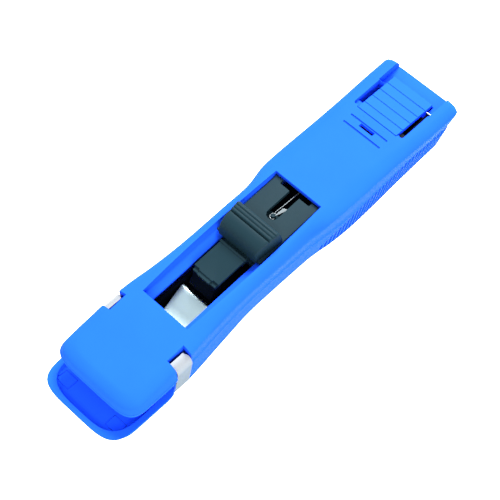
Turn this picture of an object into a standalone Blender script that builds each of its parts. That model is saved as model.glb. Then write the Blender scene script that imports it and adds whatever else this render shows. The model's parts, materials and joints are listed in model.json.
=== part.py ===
"""Hand-held applicator for reusable spring-steel paper clips.

Frame: X across, -Y towards the jaws, +Z up. The origin is on the floor, under the
middle of the body's length. All lengths are in metres.
"""

import math

import bmesh
import bpy
from mathutils import Vector

MM = 0.001
GAP = 0.3 * MM

# Heights of the two shells
SEAM_Z = 15.0 * MM
SEAM_GAP = 0.2 * MM
JAW_RIM_Z = 8.0 * MM
JAW_FLOOR_Z = 5.5 * MM
FLOOR_THICKNESS = 1.8 * MM
WALL = 1.8 * MM
COVER_THICKNESS = 1.8 * MM
NOSE_THICKNESS = 1.5 * MM
MOUTH_BACK_Y = -57.2 * MM
UPPER_WALL = 1.7 * MM
CAVITY_REAR_Y = 85.7 * MM

# Window in the upper shell, and the sloping plane of its rim
WINDOW_FRONT_Y = -43.8 * MM
WINDOW_REAR_Y = 21.8 * MM
WINDOW_HALF_WIDTH = 11.0 * MM
RIM_Z_AT_ORIGIN = 26.85 * MM
TRACK_TILT = math.radians(3.14)
LEDGE_TOP = -3.2 * MM
LEDGE_EDGE_TOP = -3.5 * MM
LEDGE_BOTTOM = -5.2 * MM
LEDGE_INNER = 7.2 * MM

# Clip channel
CLIP_HALF_WIDTH = 7.2 * MM
CLIP_LIP_HALF_WIDTH = 5.0 * MM
CLIP_LENGTH = 13.9 * MM
CLIP_HEIGHT = 5.5 * MM
CLIP_SHEET = 0.45 * MM
CLIP_MID_Z = 11.75 * MM
CHANNEL_HALF_WIDTH = 7.9 * MM
CHANNEL_FLOOR_Z = 8.5 * MM
FRONT_CLIP_SPINE_Y = -28.5 * MM
QUEUE_FIRST_SPINE_Y = -7.4 * MM
QUEUE_PITCH = 14.3 * MM
QUEUE_COUNT = 6

# Steel band around the nose
BAND_FRONT_Y = -56.8 * MM
BAND_REAR_Y = -49.2 * MM
BAND_THICKNESS = 0.6 * MM
NOTCH_INNER_X = 12.3 * MM

# Screws that hold the clip channel to the lower shell
TRAY_SCREWS = (("front", -40.0 * MM), ("rear", 60.0 * MM))
SCREW_HOLE_RADIUS = 1.2 * MM
SCREW_HEAD_RADIUS = 2.4 * MM

# Ramps that spread the clip between the jaws, and the posts they stand on
RAMP_REAR_Y = -59.0 * MM
RAMP_FRONT_Y = -73.0 * MM
RAMP_HALF_WIDTH = 13.6 * MM
RAMP_THICKNESS = 0.6 * MM
RAMP_POST_X = 12.0 * MM
RAMP_POST_HALF_WIDTH = 1.5 * MM
RAMP_POST_FRONT_Y = -66.0 * MM
RAMP_POST_REAR_Y = -62.0 * MM

# Slider, along its track and down from the rim plane
CARRIAGE_SCREW_Y = -6.6 * MM
SPRING_POST_Y = 8.9 * MM
SPRING_POST_RADIUS = 0.7 * MM
SPRING_WIRE_RADIUS = 0.32 * MM

# Pin behind the return spring
ANCHOR_Y = 52.0 * MM
ANCHOR_Z = 24.0 * MM
ANCHOR_RADIUS = 0.75 * MM

# Rear hinge of the upper shell
HINGE_Y = 80.5 * MM
HINGE_Z = 4.5 * MM
HINGE_PIN_RADIUS = 1.2 * MM

# Loading flap at the rear
FLAP_FRONT_Y = 62.5 * MM
FLAP_REAR_Y = 82.8 * MM
FLAP_HALF_WIDTH = 9.1 * MM
FLAP_PIN_Y = 64.3 * MM
FLAP_PIN_Z = 25.9 * MM
FLAP_PIN_RADIUS = 0.6 * MM
FLAP_SLOT_OUTER_X = 11.3 * MM
FLAP_GROOVES_Y = (66.4 * MM, 70.5 * MM, 74.6 * MM, 78.7 * MM)
COVER_GROOVES_Y = (54.4 * MM, 58.5 * MM)
GROOVE_HALF_WIDTH = 0.3 * MM
GROOVE_HALF_LENGTH = 8.6 * MM
LEAF_PEG = (9.2 * MM, 60.1 * MM)

# Body outline: y, half width at z=0, half width at the shoulder, shoulder z,
# half width of the flat top, top z (all in millimetres)
OUTLINE = [
    (-57.2, 16.1, 18.3, 20.2, 14.2, 22.9),
    (-50.0, 15.8, 17.9, 21.4, 13.6, 23.7),
    (-43.0, 15.0, 17.3, 22.0, 12.9, 24.4),
    (-35.0, 14.0, 16.5, 22.0, 12.6, 24.9),
    (-25.0, 12.9, 15.8, 22.3, 12.4, 25.5),
    (-15.0, 11.8, 15.5, 22.4, 12.3, 26.0),
    (0.0, 11.6, 15.6, 22.6, 12.4, 26.8),
    (11.0, 11.5, 15.9, 23.0, 12.6, 27.4),
    (15.0, 11.5, 16.3, 23.4, 12.6, 27.7),
    (20.0, 11.9, 17.1, 24.4, 12.6, 28.0),
    (26.0, 12.7, 17.4, 25.0, 12.6, 28.1),
    (36.0, 13.2, 17.3, 25.0, 12.4, 28.1),
    (50.0, 12.8, 17.2, 25.0, 13.2, 28.1),
    (62.0, 12.2, 17.3, 25.0, 13.8, 28.1),
    (75.0, 11.8, 17.6, 25.0, 14.4, 27.9),
    (85.0, 11.4, 17.6, 24.8, 14.6, 27.6),
]

# Rounded rear end: y, how far the outline has drawn in, how far the top has dropped
REAR_END = [(86.4, 0.3, 0.2), (87.1, 0.9, 0.7), (87.5, 1.8, 1.5)]

# Upper jaw: y, half width at the seam, shoulder z, top z
UPPER_JAW = [
    (-79.8, 5.0, 16.0, 16.6),
    (-79.4, 10.5, 16.8, 17.8),
    (-78.6, 14.2, 17.2, 19.0),
    (-77.0, 17.0, 17.7, 19.8),
    (-75.0, 18.4, 18.1, 20.3),
    (-72.0, 18.9, 18.5, 20.8),
    (-65.0, 19.0, 19.1, 21.8),
]

# Lower jaw: y, half width at the rim, z of the underside, half width of the underside
LOWER_JAW = [
    (-87.5, 3.0, 6.6, 2.2),
    (-87.2, 6.5, 5.6, 5.0),
    (-86.6, 10.2, 4.4, 8.0),
    (-85.8, 13.2, 3.2, 10.6),
    (-84.7, 15.9, 2.0, 12.8),
    (-83.3, 17.6, 1.0, 14.2),
    (-81.5, 18.7, 0.3, 15.2),
    (-79.0, 19.2, 0.0, 15.8),
    (-70.0, 19.2, 0.0, 16.2),
    (-60.0, 19.1, 0.0, 16.2),
]


# ---------------------------------------------------------------- scene and materials


def clear_scene():
    for obj in list(bpy.data.objects):
        bpy.data.objects.remove(obj, do_unlink=True)


def material(name, colour, roughness, metallic):
    made = bpy.data.materials.new(name)
    made.use_nodes = True
    shader = made.node_tree.nodes["Principled BSDF"]
    shader.inputs["Base Color"].default_value = (*colour, 1.0)
    shader.inputs["Roughness"].default_value = roughness
    shader.inputs["Metallic"].default_value = metallic
    return made


# ---------------------------------------------------------------- mesh building


def add_object(name, verts, faces, mat=None):
    """A closed mesh object with outward faces."""
    mesh = bpy.data.meshes.new(name)
    mesh.from_pydata(verts, [], faces)
    work = bmesh.new()
    work.from_mesh(mesh)
    bmesh.ops.remove_doubles(work, verts=work.verts, dist=1e-7)
    bmesh.ops.recalc_face_normals(work, faces=work.faces)
    work.to_mesh(mesh)
    work.free()
    obj = bpy.data.objects.new(name, mesh)
    bpy.context.scene.collection.objects.link(obj)
    if mat is not None:
        mesh.materials.append(mat)
    return obj


def smooth(obj, angle=32.0):
    """Rounds the shading over gentle edges only."""
    mesh = obj.data
    mesh.shade_smooth()
    mesh.set_sharp_from_angle(angle=math.radians(angle))
    return obj


def loft_y(name, sections, mat=None):
    """Joins closed X-Z outlines, each at its own y, and closes both ends."""
    count = len(sections[0][1])
    verts = [(x, y, z) for y, outline in sections for x, z in outline]
    faces = []
    for ring in range(len(sections) - 1):
        low = ring * count
        high = low + count
        for i in range(count):
            j = (i + 1) % count
            faces.append((low + i, low + j, high + j, high + i))
    faces.append(tuple(range(count)))
    last = (len(sections) - 1) * count
    faces.append(tuple(last + i for i in range(count)))
    return add_object(name, verts, faces, mat)


def prism_y(name, outline, y0, y1, mat=None):
    """An X-Z outline extruded along Y."""
    return loft_y(name, [(y0, outline), (y1, outline)], mat)


def prism_x(name, outline, x0, x1, mat=None):
    """A Y-Z outline extruded along X."""
    count = len(outline)
    verts = [(x, y, z) for x in (x0, x1) for y, z in outline]
    faces = [(i, (i + 1) % count, count + (i + 1) % count, count + i) for i in range(count)]
    faces.append(tuple(range(count)))
    faces.append(tuple(count + i for i in range(count)))
    return add_object(name, verts, faces, mat)


def prism_z(name, outline, z0, z1, mat=None):
    """An X-Y outline extruded along Z."""
    count = len(outline)
    verts = [(x, y, z) for z in (z0, z1) for x, y in outline]
    faces = [(i, (i + 1) % count, count + (i + 1) % count, count + i) for i in range(count)]
    faces.append(tuple(range(count)))
    faces.append(tuple(count + i for i in range(count)))
    return add_object(name, verts, faces, mat)


def box(name, low, high, mat=None):
    outline = [(low[0], low[2]), (high[0], low[2]), (high[0], high[2]), (low[0], high[2])]
    return prism_y(name, outline, low[1], high[1], mat)


def circle(radius, centre=(0.0, 0.0), sides=32):
    steps = [2 * math.pi * i / sides for i in range(sides)]
    return [(centre[0] + radius * math.cos(a), centre[1] + radius * math.sin(a)) for a in steps]


def tube_along(name, path, radius, mat=None, sides=8):
    """A round wire swept along a line of points, closed at both ends."""
    points = [Vector(p) for p in path]
    verts = []
    normal = None
    for i, point in enumerate(points):
        before = points[max(i - 1, 0)]
        after = points[min(i + 1, len(points) - 1)]
        tangent = (after - before).normalized()
        if normal is None:
            start = Vector((0, 0, 1)) if abs(tangent.z) < 0.9 else Vector((1, 0, 0))
            normal = start
        normal = (normal - tangent * normal.dot(tangent)).normalized()
        side = tangent.cross(normal)
        for k in range(sides):
            angle = 2 * math.pi * k / sides
            verts.append(point + (normal * math.cos(angle) + side * math.sin(angle)) * radius)
    faces = []
    for ring in range(len(points) - 1):
        low = ring * sides
        for k in range(sides):
            j = (k + 1) % sides
            faces.append((low + k, low + j, low + sides + j, low + sides + k))
    faces.append(tuple(range(sides)))
    last = (len(points) - 1) * sides
    faces.append(tuple(last + k for k in range(sides)))
    return add_object(name, verts, faces, mat)


def combine(target, tool, operation):
    """Adds a Boolean of a hidden helper to an object."""
    tool.hide_render = True
    tool.display_type = "WIRE"
    modifier = target.modifiers.new(tool.name, "BOOLEAN")
    modifier.operation = operation
    modifier.solver = "EXACT"
    modifier.object = tool


def cut(target, tool):
    combine(target, tool, "DIFFERENCE")


def fuse(target, tool):
    combine(target, tool, "UNION")


def offset_path(points, distance):
    """Moves an open line of 2-D points sideways, to its left."""
    moved = []
    for i, point in enumerate(points):
        before = points[max(i - 1, 0)]
        after = points[min(i + 1, len(points) - 1)]
        first = Vector((point[0] - before[0], point[1] - before[1]))
        second = Vector((after[0] - point[0], after[1] - point[1]))
        if i == 0:
            first = second
        if i == len(points) - 1:
            second = first
        first.normalize()
        second.normalize()
        mean = (first + second).normalized()
        reach = distance / max(mean.dot(first), 0.5)
        moved.append((point[0] - mean.y * reach, point[1] + mean.x * reach))
    return moved


# ---------------------------------------------------------------- body outline


def interpolate(table, y, column):
    if y <= table[0][0]:
        return table[0][column]
    for low, high in zip(table, table[1:]):
        if y <= high[0]:
            share = (y - low[0]) / (high[0] - low[0])
            return low[column] + share * (high[column] - low[column])
    return table[-1][column]


def body_half_width(y, z):
    """Half width of the drafted side wall at y and z, in millimetres."""
    base = interpolate(OUTLINE, y, 1)
    shoulder = interpolate(OUTLINE, y, 2)
    shoulder_z = interpolate(OUTLINE, y, 3)
    return base + (shoulder - base) * z / shoulder_z


def rim_z(y):
    """Height of the window's rim plane at y, in metres."""
    return RIM_Z_AT_ORIGIN + y * math.tan(TRACK_TILT)


def mirrored(half):
    """Closes a right-hand half outline with its mirror image."""
    return half + [(-x, z) for x, z in reversed(half)]


def scaled(points):
    return [(a * MM, b * MM) for a, b in points]


def upper_half(seam, shoulder, shoulder_z, flat, top, base):
    """Right half of the upper shell's outline, from the seam up, in millimetres."""
    middle = ((shoulder + flat) / 2 + 0.7, shoulder_z + (top - shoulder_z) * 0.72)
    return [(seam, base), (shoulder, shoulder_z), middle, (flat, top)]


def upper_sections(inset=0.0, roof=0.0, base=SEAM_Z / MM):
    """Sections of the upper shell, drawn in by a wall and lowered by a roof."""
    sections = []
    for y, seam, shoulder_z, top in UPPER_JAW:
        flat = max(seam - 4.6 - inset, 0.8)
        half = upper_half(
            max(seam - inset, 1.2),
            max(seam - 0.6 - inset, 1.1),
            max(shoulder_z - roof, base + 0.2),
            flat,
            max(top - roof, base + 0.4),
            base,
        )
        sections.append((y * MM, scaled(mirrored(half))))
    for y, _, shoulder, shoulder_z, flat, top in OUTLINE:
        seam = 19.0 if y < -57.0 else body_half_width(y, SEAM_Z / MM)
        half = upper_half(
            seam - inset, shoulder - inset, shoulder_z - roof, flat - inset * 0.6, top - roof, base
        )
        sections.append((y * MM, scaled(mirrored(half))))
    return sections


def rear_upper_sections():
    last = OUTLINE[-1]
    seam = body_half_width(last[0], SEAM_Z / MM)
    sections = []
    for y, drawn_in, drop in REAR_END:
        half = upper_half(
            seam - drawn_in, last[2] - drawn_in, last[3] - drop, last[4] - drawn_in, last[5] - drop,
            SEAM_Z / MM,
        )
        sections.append((y * MM, scaled(mirrored(half))))
    return sections


def lower_half(base, base_z, top, top_z):
    """Right half of the lower shell's outline, from the middle of the base up."""
    height = top_z - base_z
    edge = min(1.2, height * 0.3)
    lean = (top - base) / height
    return [
        (base - edge, base_z),
        (base + lean * edge * 0.3, base_z + edge * 0.35),
        (base + lean * edge, base_z + edge),
        (top, top_z),
    ]


def lower_sections():
    sections = []
    for y, rim, base_z, base in LOWER_JAW:
        sections.append((y * MM, scaled(mirrored(lower_half(base, base_z, rim, JAW_RIM_Z / MM)))))
    seam_z = (SEAM_Z - SEAM_GAP) / MM
    step = MOUTH_BACK_Y / MM
    sections.append((step * MM, scaled(mirrored(lower_half(16.1, 0.0, 19.0, JAW_RIM_Z / MM)))))
    sections.append(((step + 0.05) * MM, scaled(mirrored(lower_half(16.1, 0.0, 19.0, seam_z)))))
    for y, base, _, _, _, _ in OUTLINE[1:]:
        top = body_half_width(y, seam_z)
        sections.append((y * MM, scaled(mirrored(lower_half(base, 0.0, top, seam_z)))))
    last = OUTLINE[-1]
    for y, drawn_in, _ in REAR_END:
        top = body_half_width(last[0], seam_z) - drawn_in
        sections.append((y * MM, scaled(mirrored(lower_half(last[1] - drawn_in, 0.0, top, seam_z)))))
    return sections


def between(sections, y0, y1):
    """The sections from y0 to y1, with the end ones repeated at y0 and y1."""
    inner = [s for s in sections if y0 < s[0] < y1]
    before = [s for s in sections if s[0] <= y0][-1:] or inner[:1]
    after = [s for s in sections if s[0] >= y1][:1] or inner[-1:]
    return [(y0, before[0][1])] + inner + [(y1, after[0][1])]


# ---------------------------------------------------------------- steel band


def band_path():
    """Outer line of the band's section, from the left tip under the body to the right tip."""
    right = [
        (0.0, 0.12),
        (14.6, 0.12),
        (15.8, 0.5),
        (16.25, 1.6),
        (18.55, 17.2),
        (18.5, 19.4),
        (17.9, 21.3),
        (16.6, 22.6),
        (14.8, 23.3),
    ]
    left = [(-x, z) for x, z in reversed(right[1:])]
    return scaled(left + right)


def make_band(steel):
    outer = band_path()
    inner = offset_path(outer, BAND_THICKNESS)
    outline = outer + list(reversed(inner))
    return prism_y("nose_band", outline, BAND_FRONT_Y, BAND_REAR_Y, steel)


def band_channel():
    """Everything outside the band's inner face, to cut the band's seat with."""
    inner = offset_path(band_path(), BAND_THICKNESS + GAP)
    far = 25 * MM
    tip_z = inner[-1][1]
    floor = -3 * MM
    roof = 30 * MM
    outline = (
        [(-NOTCH_INNER_X, roof), (-NOTCH_INNER_X, tip_z)]
        + inner
        + [(NOTCH_INNER_X, tip_z), (NOTCH_INNER_X, roof), (far, roof), (far, floor)]
        + [(-far, floor), (-far, roof)]
    )
    return prism_y("cut_band_seat", outline, BAND_FRONT_Y - GAP, BAND_REAR_Y + GAP)


# ---------------------------------------------------------------- shells


def hinge_bore(name):
    bore = circle(HINGE_PIN_RADIUS + 0.1 * MM, (HINGE_Y, HINGE_Z))
    return prism_x(name, bore, -12.2 * MM, 12.2 * MM)


def make_lower_shell(blue):
    shell = loft_y("lower_shell", lower_sections(), blue)
    inside = []
    for y, base, _, _, _, _ in OUTLINE[1:]:
        low = (body_half_width(y, FLOOR_THICKNESS / MM) - WALL / MM, FLOOR_THICKNESS / MM)
        high = (body_half_width(y, 16.0) - WALL / MM, 16.0)
        inside.append((y * MM, scaled(mirrored([low, high]))))
    cavity_front = -53.0 * MM
    sections = [(cavity_front, inside[0][1])] + inside + [(CAVITY_REAR_Y, inside[-1][1])]
    cut(shell, loft_y("cut_lower_cavity", sections))

    recess = []
    for y, rim, _, _ in LOWER_JAW:
        if -86.0 < y < -58.0:
            recess.append(((y + 1.6) * MM, scaled(mirrored([(rim - 2.4, 5.5), (rim - 2.0, 16.0)]))))
    recess.append((-52.5 * MM, scaled(mirrored([(13.6, 5.5), (14.2, 16.0)]))))
    cut(shell, loft_y("cut_jaw_tray", recess))
    pocket_half_width = 3.4 * MM
    for side in (-1, 1):
        centre = side * RAMP_POST_X
        low = (centre - pocket_half_width, -83.0 * MM, 4.7 * MM)
        high = (centre + pocket_half_width, -77.6 * MM, 7.0 * MM)
        cut(shell, box(f"cut_jaw_pocket_{side}", low, high))
        low = (centre - RAMP_POST_HALF_WIDTH, RAMP_POST_FRONT_Y, 5.2 * MM)
        high = (centre + RAMP_POST_HALF_WIDTH, RAMP_POST_REAR_Y, 9.55 * MM)
        fuse(shell, box(f"add_ramp_post_{side}", low, high))

    cut(shell, band_channel())
    for name, y in TRAY_SCREWS:
        hole = circle(SCREW_HOLE_RADIUS, (0.0, y))
        cut(shell, prism_z(f"cut_screw_hole_{name}", hole, -1 * MM, 3 * MM))
        head = circle(SCREW_HEAD_RADIUS, (0.0, y))
        cut(shell, prism_z(f"cut_screw_head_{name}", head, -1 * MM, 0.9 * MM))
    cut(shell, hinge_bore("cut_hinge_hole"))
    port_low = (-CHANNEL_HALF_WIDTH, 84.0 * MM, CHANNEL_FLOOR_Z)
    cut(shell, box("cut_inlet_port", port_low, (CHANNEL_HALF_WIDTH, 90.0 * MM, 17.0 * MM)))
    return shell


def make_upper_shell(blue):
    sections = upper_sections() + rear_upper_sections()
    shell = loft_y("upper_shell", sections, blue)

    wall = UPPER_WALL / MM
    hollow = upper_sections(inset=wall, roof=NOSE_THICKNESS / MM, base=13.0)
    nose = between(hollow, -77.6 * MM, WINDOW_FRONT_Y + 0.6 * MM)
    cut(shell, loft_y("cut_nose_cavity", nose))

    middle = []
    for y in (-44.6, -35.0, -25.0, -15.0, 0.0, 11.0, 19.0):
        top = rim_z(y * MM) / MM + LEDGE_BOTTOM / MM
        low = (body_half_width(y, 12.0) - wall - 0.9, 12.0)
        high = (body_half_width(y, top) - wall - 0.9, top)
        middle.append((y * MM, scaled(mirrored([low, high]))))
    middle.append((22.6 * MM, middle[-1][1]))
    cut(shell, loft_y("cut_window_cavity", middle))

    hollow = upper_sections(inset=wall, roof=COVER_THICKNESS / MM, base=13.0)
    cut(shell, loft_y("cut_rear_cavity", between(hollow, WINDOW_REAR_Y - 0.4 * MM, CAVITY_REAR_Y)))

    # The window, with its two ledges left standing under the rim
    window = []
    for y in (WINDOW_FRONT_Y, WINDOW_REAR_Y):
        plane = rim_z(y)
        half = [
            (LEDGE_INNER, plane - 9 * MM),
            (LEDGE_INNER, plane + LEDGE_EDGE_TOP),
            (WINDOW_HALF_WIDTH - 0.3 * MM, plane + LEDGE_TOP),
            (WINDOW_HALF_WIDTH, plane - 0.8 * MM),
            (WINDOW_HALF_WIDTH + 0.6 * MM, plane + 6 * MM),
        ]
        window.append((y, mirrored(half)))
    cut(shell, loft_y("cut_window", window))

    # Clearance over the finger's path, under the front of the cover
    relief = []
    for y in (-57.6 * MM, WINDOW_FRONT_Y + 0.5 * MM):
        top = rim_z(y) - 1.6 * MM
        relief.append((y, mirrored([(6.6 * MM, top - 6 * MM), (6.6 * MM, top)])))
    cut(shell, loft_y("cut_finger_relief", relief))
    cut(shell, band_channel())

    # Opening for the loading flap, its side slots and the step at the rear
    slots = [
        (-FLAP_SLOT_OUTER_X, 63.4 * MM),
        (-FLAP_SLOT_OUTER_X + 0.6 * MM, 62.6 * MM),
        (-9.4 * MM, FLAP_FRONT_Y - GAP),
        (9.4 * MM, FLAP_FRONT_Y - GAP),
        (FLAP_SLOT_OUTER_X - 0.6 * MM, 62.6 * MM),
        (FLAP_SLOT_OUTER_X, 63.4 * MM),
        (FLAP_SLOT_OUTER_X, 83.3 * MM),
        (-FLAP_SLOT_OUTER_X, 83.3 * MM),
    ]
    cut(shell, prism_z("cut_flap_opening", slots, 20 * MM, 30 * MM))
    low = (-12.7 * MM, 77.3 * MM, 25.6 * MM)
    cut(shell, box("cut_rear_step", low, (12.7 * MM, 90 * MM, 30 * MM)))
    low = (-3.2 * MM, 56.0 * MM, 20 * MM)
    cut(shell, box("cut_sight_hole", low, (3.2 * MM, 57.9 * MM, 30 * MM)))
    for number, y in enumerate(COVER_GROOVES_Y):
        low = (-GROOVE_HALF_LENGTH, y - GROOVE_HALF_WIDTH, 27.6 * MM)
        high = (GROOVE_HALF_LENGTH, y + GROOVE_HALF_WIDTH, 30 * MM)
        cut(shell, box(f"cut_cover_groove_{number}", low, high))

    # Lugs for the flap's pin, posts for the upper ramp, lugs for the spring's rear pin
    for side in (-1, 1):
        inner, outer = sorted((side * 9.6 * MM, side * 12.4 * MM))
        lug = box(f"add_flap_lug_{side}", (inner, 62.9 * MM, 24.6 * MM), (outer, 65.9 * MM, 27.2 * MM))
        fuse(shell, lug)
        low = (side * RAMP_POST_X - RAMP_POST_HALF_WIDTH, RAMP_POST_FRONT_Y, 13.9 * MM)
        high = (side * RAMP_POST_X + RAMP_POST_HALF_WIDTH, RAMP_POST_REAR_Y, 20.8 * MM)
        fuse(shell, box(f"add_upper_post_{side}", low, high))
        inner, outer = sorted((side * 2.6 * MM, side * 4.2 * MM))
        lug = box(f"add_anchor_lug_{side}", (inner, 50.6 * MM, 22.6 * MM), (outer, 53.4 * MM, 27 * MM))
        fuse(shell, lug)
        bent = [(8.3, 2.4), (9.7, 2.4), (9.7, 15.6), (15.2, 15.6), (15.2, 17.2), (8.3, 17.2)]
        bent = [(side * x * MM, z * MM) for x, z in bent]
        fuse(shell, prism_y(f"add_hinge_arm_{side}", bent, 78.2 * MM, 82.8 * MM))
    pad = box("add_leaf_pad", (7.9 * MM, 58.8 * MM, 24.4 * MM), (10.9 * MM, 61.4 * MM, 27 * MM))
    fuse(shell, pad)
    fuse(shell, prism_z("add_leaf_peg", circle(0.4 * MM, LEAF_PEG, 16), 23.4 * MM, 24.8 * MM))
    bore = circle(FLAP_PIN_RADIUS + 0.2 * MM, (FLAP_PIN_Y, FLAP_PIN_Z))
    cut(shell, prism_x("cut_flap_pin", bore, -11.6 * MM, 11.6 * MM))
    bore = circle(ANCHOR_RADIUS + 0.15 * MM, (ANCHOR_Y, ANCHOR_Z))
    cut(shell, prism_x("cut_anchor_pin", bore, -3.9 * MM, 3.9 * MM))
    cut(shell, hinge_bore("cut_arm_holes"))
    return shell


# ---------------------------------------------------------------- inside the lower shell


def make_tray(black):
    """H-section channel that the clips run in."""
    half_low = [(7.9, 7.0), (7.9, 2.1), (9.3, 2.1), (9.3, 14.5), (7.9, 14.5), (7.9, 8.5)]
    outline = scaled(half_low + [(-x, z) for x, z in reversed(half_low)])
    tray = prism_y("clip_tray", outline, -52.6 * MM, 76.0 * MM, black)
    boss = 2.6 * MM
    for name, y in TRAY_SCREWS:
        fuse(tray, box(f"add_boss_{name}", (-boss, y - boss, 2.1 * MM), (boss, y + boss, 7.6 * MM)))
    for name, y in TRAY_SCREWS:
        hole = circle(1.1 * MM, (0.0, y))
        cut(tray, prism_z(f"cut_boss_{name}", hole, 1 * MM, 6.6 * MM))
    return tray


def make_magazine_plate(black):
    """Thin lid over the waiting clips, with a lanced tongue."""
    low = (-9.2 * MM, -20.6 * MM, 14.9 * MM)
    plate = box("magazine_plate", low, (9.2 * MM, 74.0 * MM, 15.4 * MM), black)
    outline = [(1.2 * MM, 9.0 * MM), (4.0 * MM, 9.0 * MM), (1.2 * MM, 17.0 * MM)]
    cut(plate, prism_z("cut_lance", outline, 14 * MM, 16.5 * MM))
    return plate


def clip_outline():
    """Y-Z outline of a clip, spine at y=0 and lips towards -y, about z=0."""
    half = CLIP_HEIGHT / 2
    outer = [
        (-13.9 * MM, 1.75 * MM),
        (-12.2 * MM, 0.95 * MM),
        (-11.2 * MM, 0.75 * MM),
        (-1.2 * MM, half),
        (-0.35 * MM, half - 0.1 * MM),
        (0.0, half - 0.5 * MM),
    ]
    line = outer + [(y, -z) for y, z in reversed(outer)]
    inner = offset_path(line, -CLIP_SHEET)
    return line + list(reversed(inner))


def make_clip(name, spine_y, steel):
    outline = clip_outline()
    count = len(outline)
    verts = []
    for side in (-1, 1):
        for y, z in outline:
            share = min(max(-y / CLIP_LENGTH, 0.0), 1.0)
            half = CLIP_HALF_WIDTH + (CLIP_LIP_HALF_WIDTH - CLIP_HALF_WIDTH) * share
            verts.append((side * half, y, z))
    faces = [(i, (i + 1) % count, count + (i + 1) % count, count + i) for i in range(count)]
    faces.append(tuple(range(count)))
    faces.append(tuple(count + i for i in range(count)))
    clip = add_object(name, verts, faces, steel)
    clip.location = (0.0, spine_y, CLIP_MID_Z)
    return clip


def make_ramp(name, tip_z, end_z, steel):
    """Spring-steel ramp that spreads a clip: a thin edge at the channel, thick at the jaw."""
    outline = [
        (RAMP_REAR_Y, tip_z),
        (RAMP_FRONT_Y, end_z),
        (RAMP_FRONT_Y, end_z + RAMP_THICKNESS),
        (RAMP_REAR_Y, tip_z + RAMP_THICKNESS * 0.5),
    ]
    return prism_x(name, outline, -RAMP_HALF_WIDTH, RAMP_HALF_WIDTH, steel)


def make_screw(name, centre, head_z, shank_top, steel):
    """Pan-head screw, head down, with a cross slot."""
    x, y = centre
    head_radius = 2.1 * MM
    shank_radius = 0.95 * MM
    head_depth = 0.8 * MM
    body = prism_z(name, circle(head_radius, centre, 28), head_z, head_z + head_depth, steel)
    stem_low = head_z + head_depth / 2
    fuse(body, prism_z(f"add_{name}_shank", circle(shank_radius, centre, 20), stem_low, shank_top))
    slot_depth = 0.4 * MM
    for number, (wide, tall) in enumerate(((1.3, 0.25), (0.25, 1.3))):
        low = (x - wide * MM, y - tall * MM, head_z - 1 * MM)
        high = (x + wide * MM, y + tall * MM, head_z + slot_depth)
        cut(body, box(f"cut_{name}_slot_{number}", low, high))
    return body


# ---------------------------------------------------------------- slider


def track_frame():
    """Empty on the window's rim plane: its Y axis runs along the slider's track."""
    frame = bpy.data.objects.new("track", None)
    bpy.context.scene.collection.objects.link(frame)
    frame.location = (0.0, 0.0, RIM_Z_AT_ORIGIN)
    frame.rotation_euler = (TRACK_TILT, 0.0, 0.0)
    return frame


def ride_track(obj, frame):
    obj.parent = frame
    for modifier in obj.modifiers:
        if modifier.type == "BOOLEAN":
            modifier.object.parent = frame
    return obj


def make_slider(black):
    """Thumb slider: a flat plate, a ribbed hump and an open slot behind it."""
    half = [(9.4, -2.9), (10.4, -2.6), (10.4, -1.9), (10.1, -1.6)]
    plate = prism_y("thumb_slider", scaled(mirrored(half)), -10.4 * MM, 21.3 * MM, black)
    hump = [
        (-10.4, -2.2),
        (-10.2, 0.0),
        (-8.9, 3.3),
        (-7.6, 3.9),
        (-4.6, 4.2),
        (-2.6, 4.7),
        (-0.4, 5.3),
        (0.8, 5.2),
        (2.0, 4.2),
        (3.0, 1.0),
        (3.4, -2.2),
    ]
    fuse(plate, prism_x("add_hump", scaled(hump), -9.5 * MM, 9.5 * MM))
    for number, (y, z) in enumerate(((-6.4, 4.05), (-4.4, 4.3), (-2.4, 4.8), (-0.4, 5.35))):
        groove = circle(0.42 * MM, (y * MM, (z + 0.1) * MM), 12)
        cut(plate, prism_x(f"cut_hump_groove_{number}", groove, -12 * MM, 12 * MM))
    slot = [(2.35 * MM, 30 * MM), (-2.35 * MM, 30 * MM), (-2.35 * MM, 8.4 * MM)]
    slot += [(-1.5 * MM, 6.9 * MM), (0.0, 6.3 * MM), (1.5 * MM, 6.9 * MM), (2.35 * MM, 8.4 * MM)]
    cut(plate, prism_z("cut_spring_slot", slot, -6 * MM, 1 * MM))
    low = (-7.0 * MM, 19.6 * MM, -6 * MM)
    cut(plate, box("cut_cross_recess", low, (7.0 * MM, 30 * MM, 1 * MM)))
    hole = circle(1.1 * MM, (0.0, CARRIAGE_SCREW_Y), 24)
    cut(plate, prism_z("cut_slider_screw", hole, -6 * MM, 1.6 * MM))
    return plate


def make_carriage(black):
    """Keel between the two ledges and flanges under them, which keep the slider down."""
    keel = [(6.8, -3.2), (6.8, -5.5), (9.6, -5.6), (9.6, -7.0)]
    body = prism_y("slider_carriage", scaled(mirrored(keel)), -9.6 * MM, 10.6 * MM, black)
    low = (-12 * MM, -12 * MM, -4.95 * MM)
    cut(body, box("cut_finger_seat", low, (12 * MM, -3.6 * MM, 0.0)))
    low = (-3.2 * MM, 5.4 * MM, -4.6 * MM)
    cut(body, box("cut_hook_seat", low, (3.2 * MM, 14 * MM, 0.0)))
    hole = circle(SCREW_HOLE_RADIUS, (0.0, CARRIAGE_SCREW_Y), 24)
    cut(body, prism_z("cut_carriage_screw", hole, -8 * MM, 0.0))
    hole = circle(SPRING_POST_RADIUS + 0.1 * MM, (0.0, SPRING_POST_Y), 20)
    cut(body, prism_z("cut_post_hole", hole, -6.4 * MM, 0.0))
    return body


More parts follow.
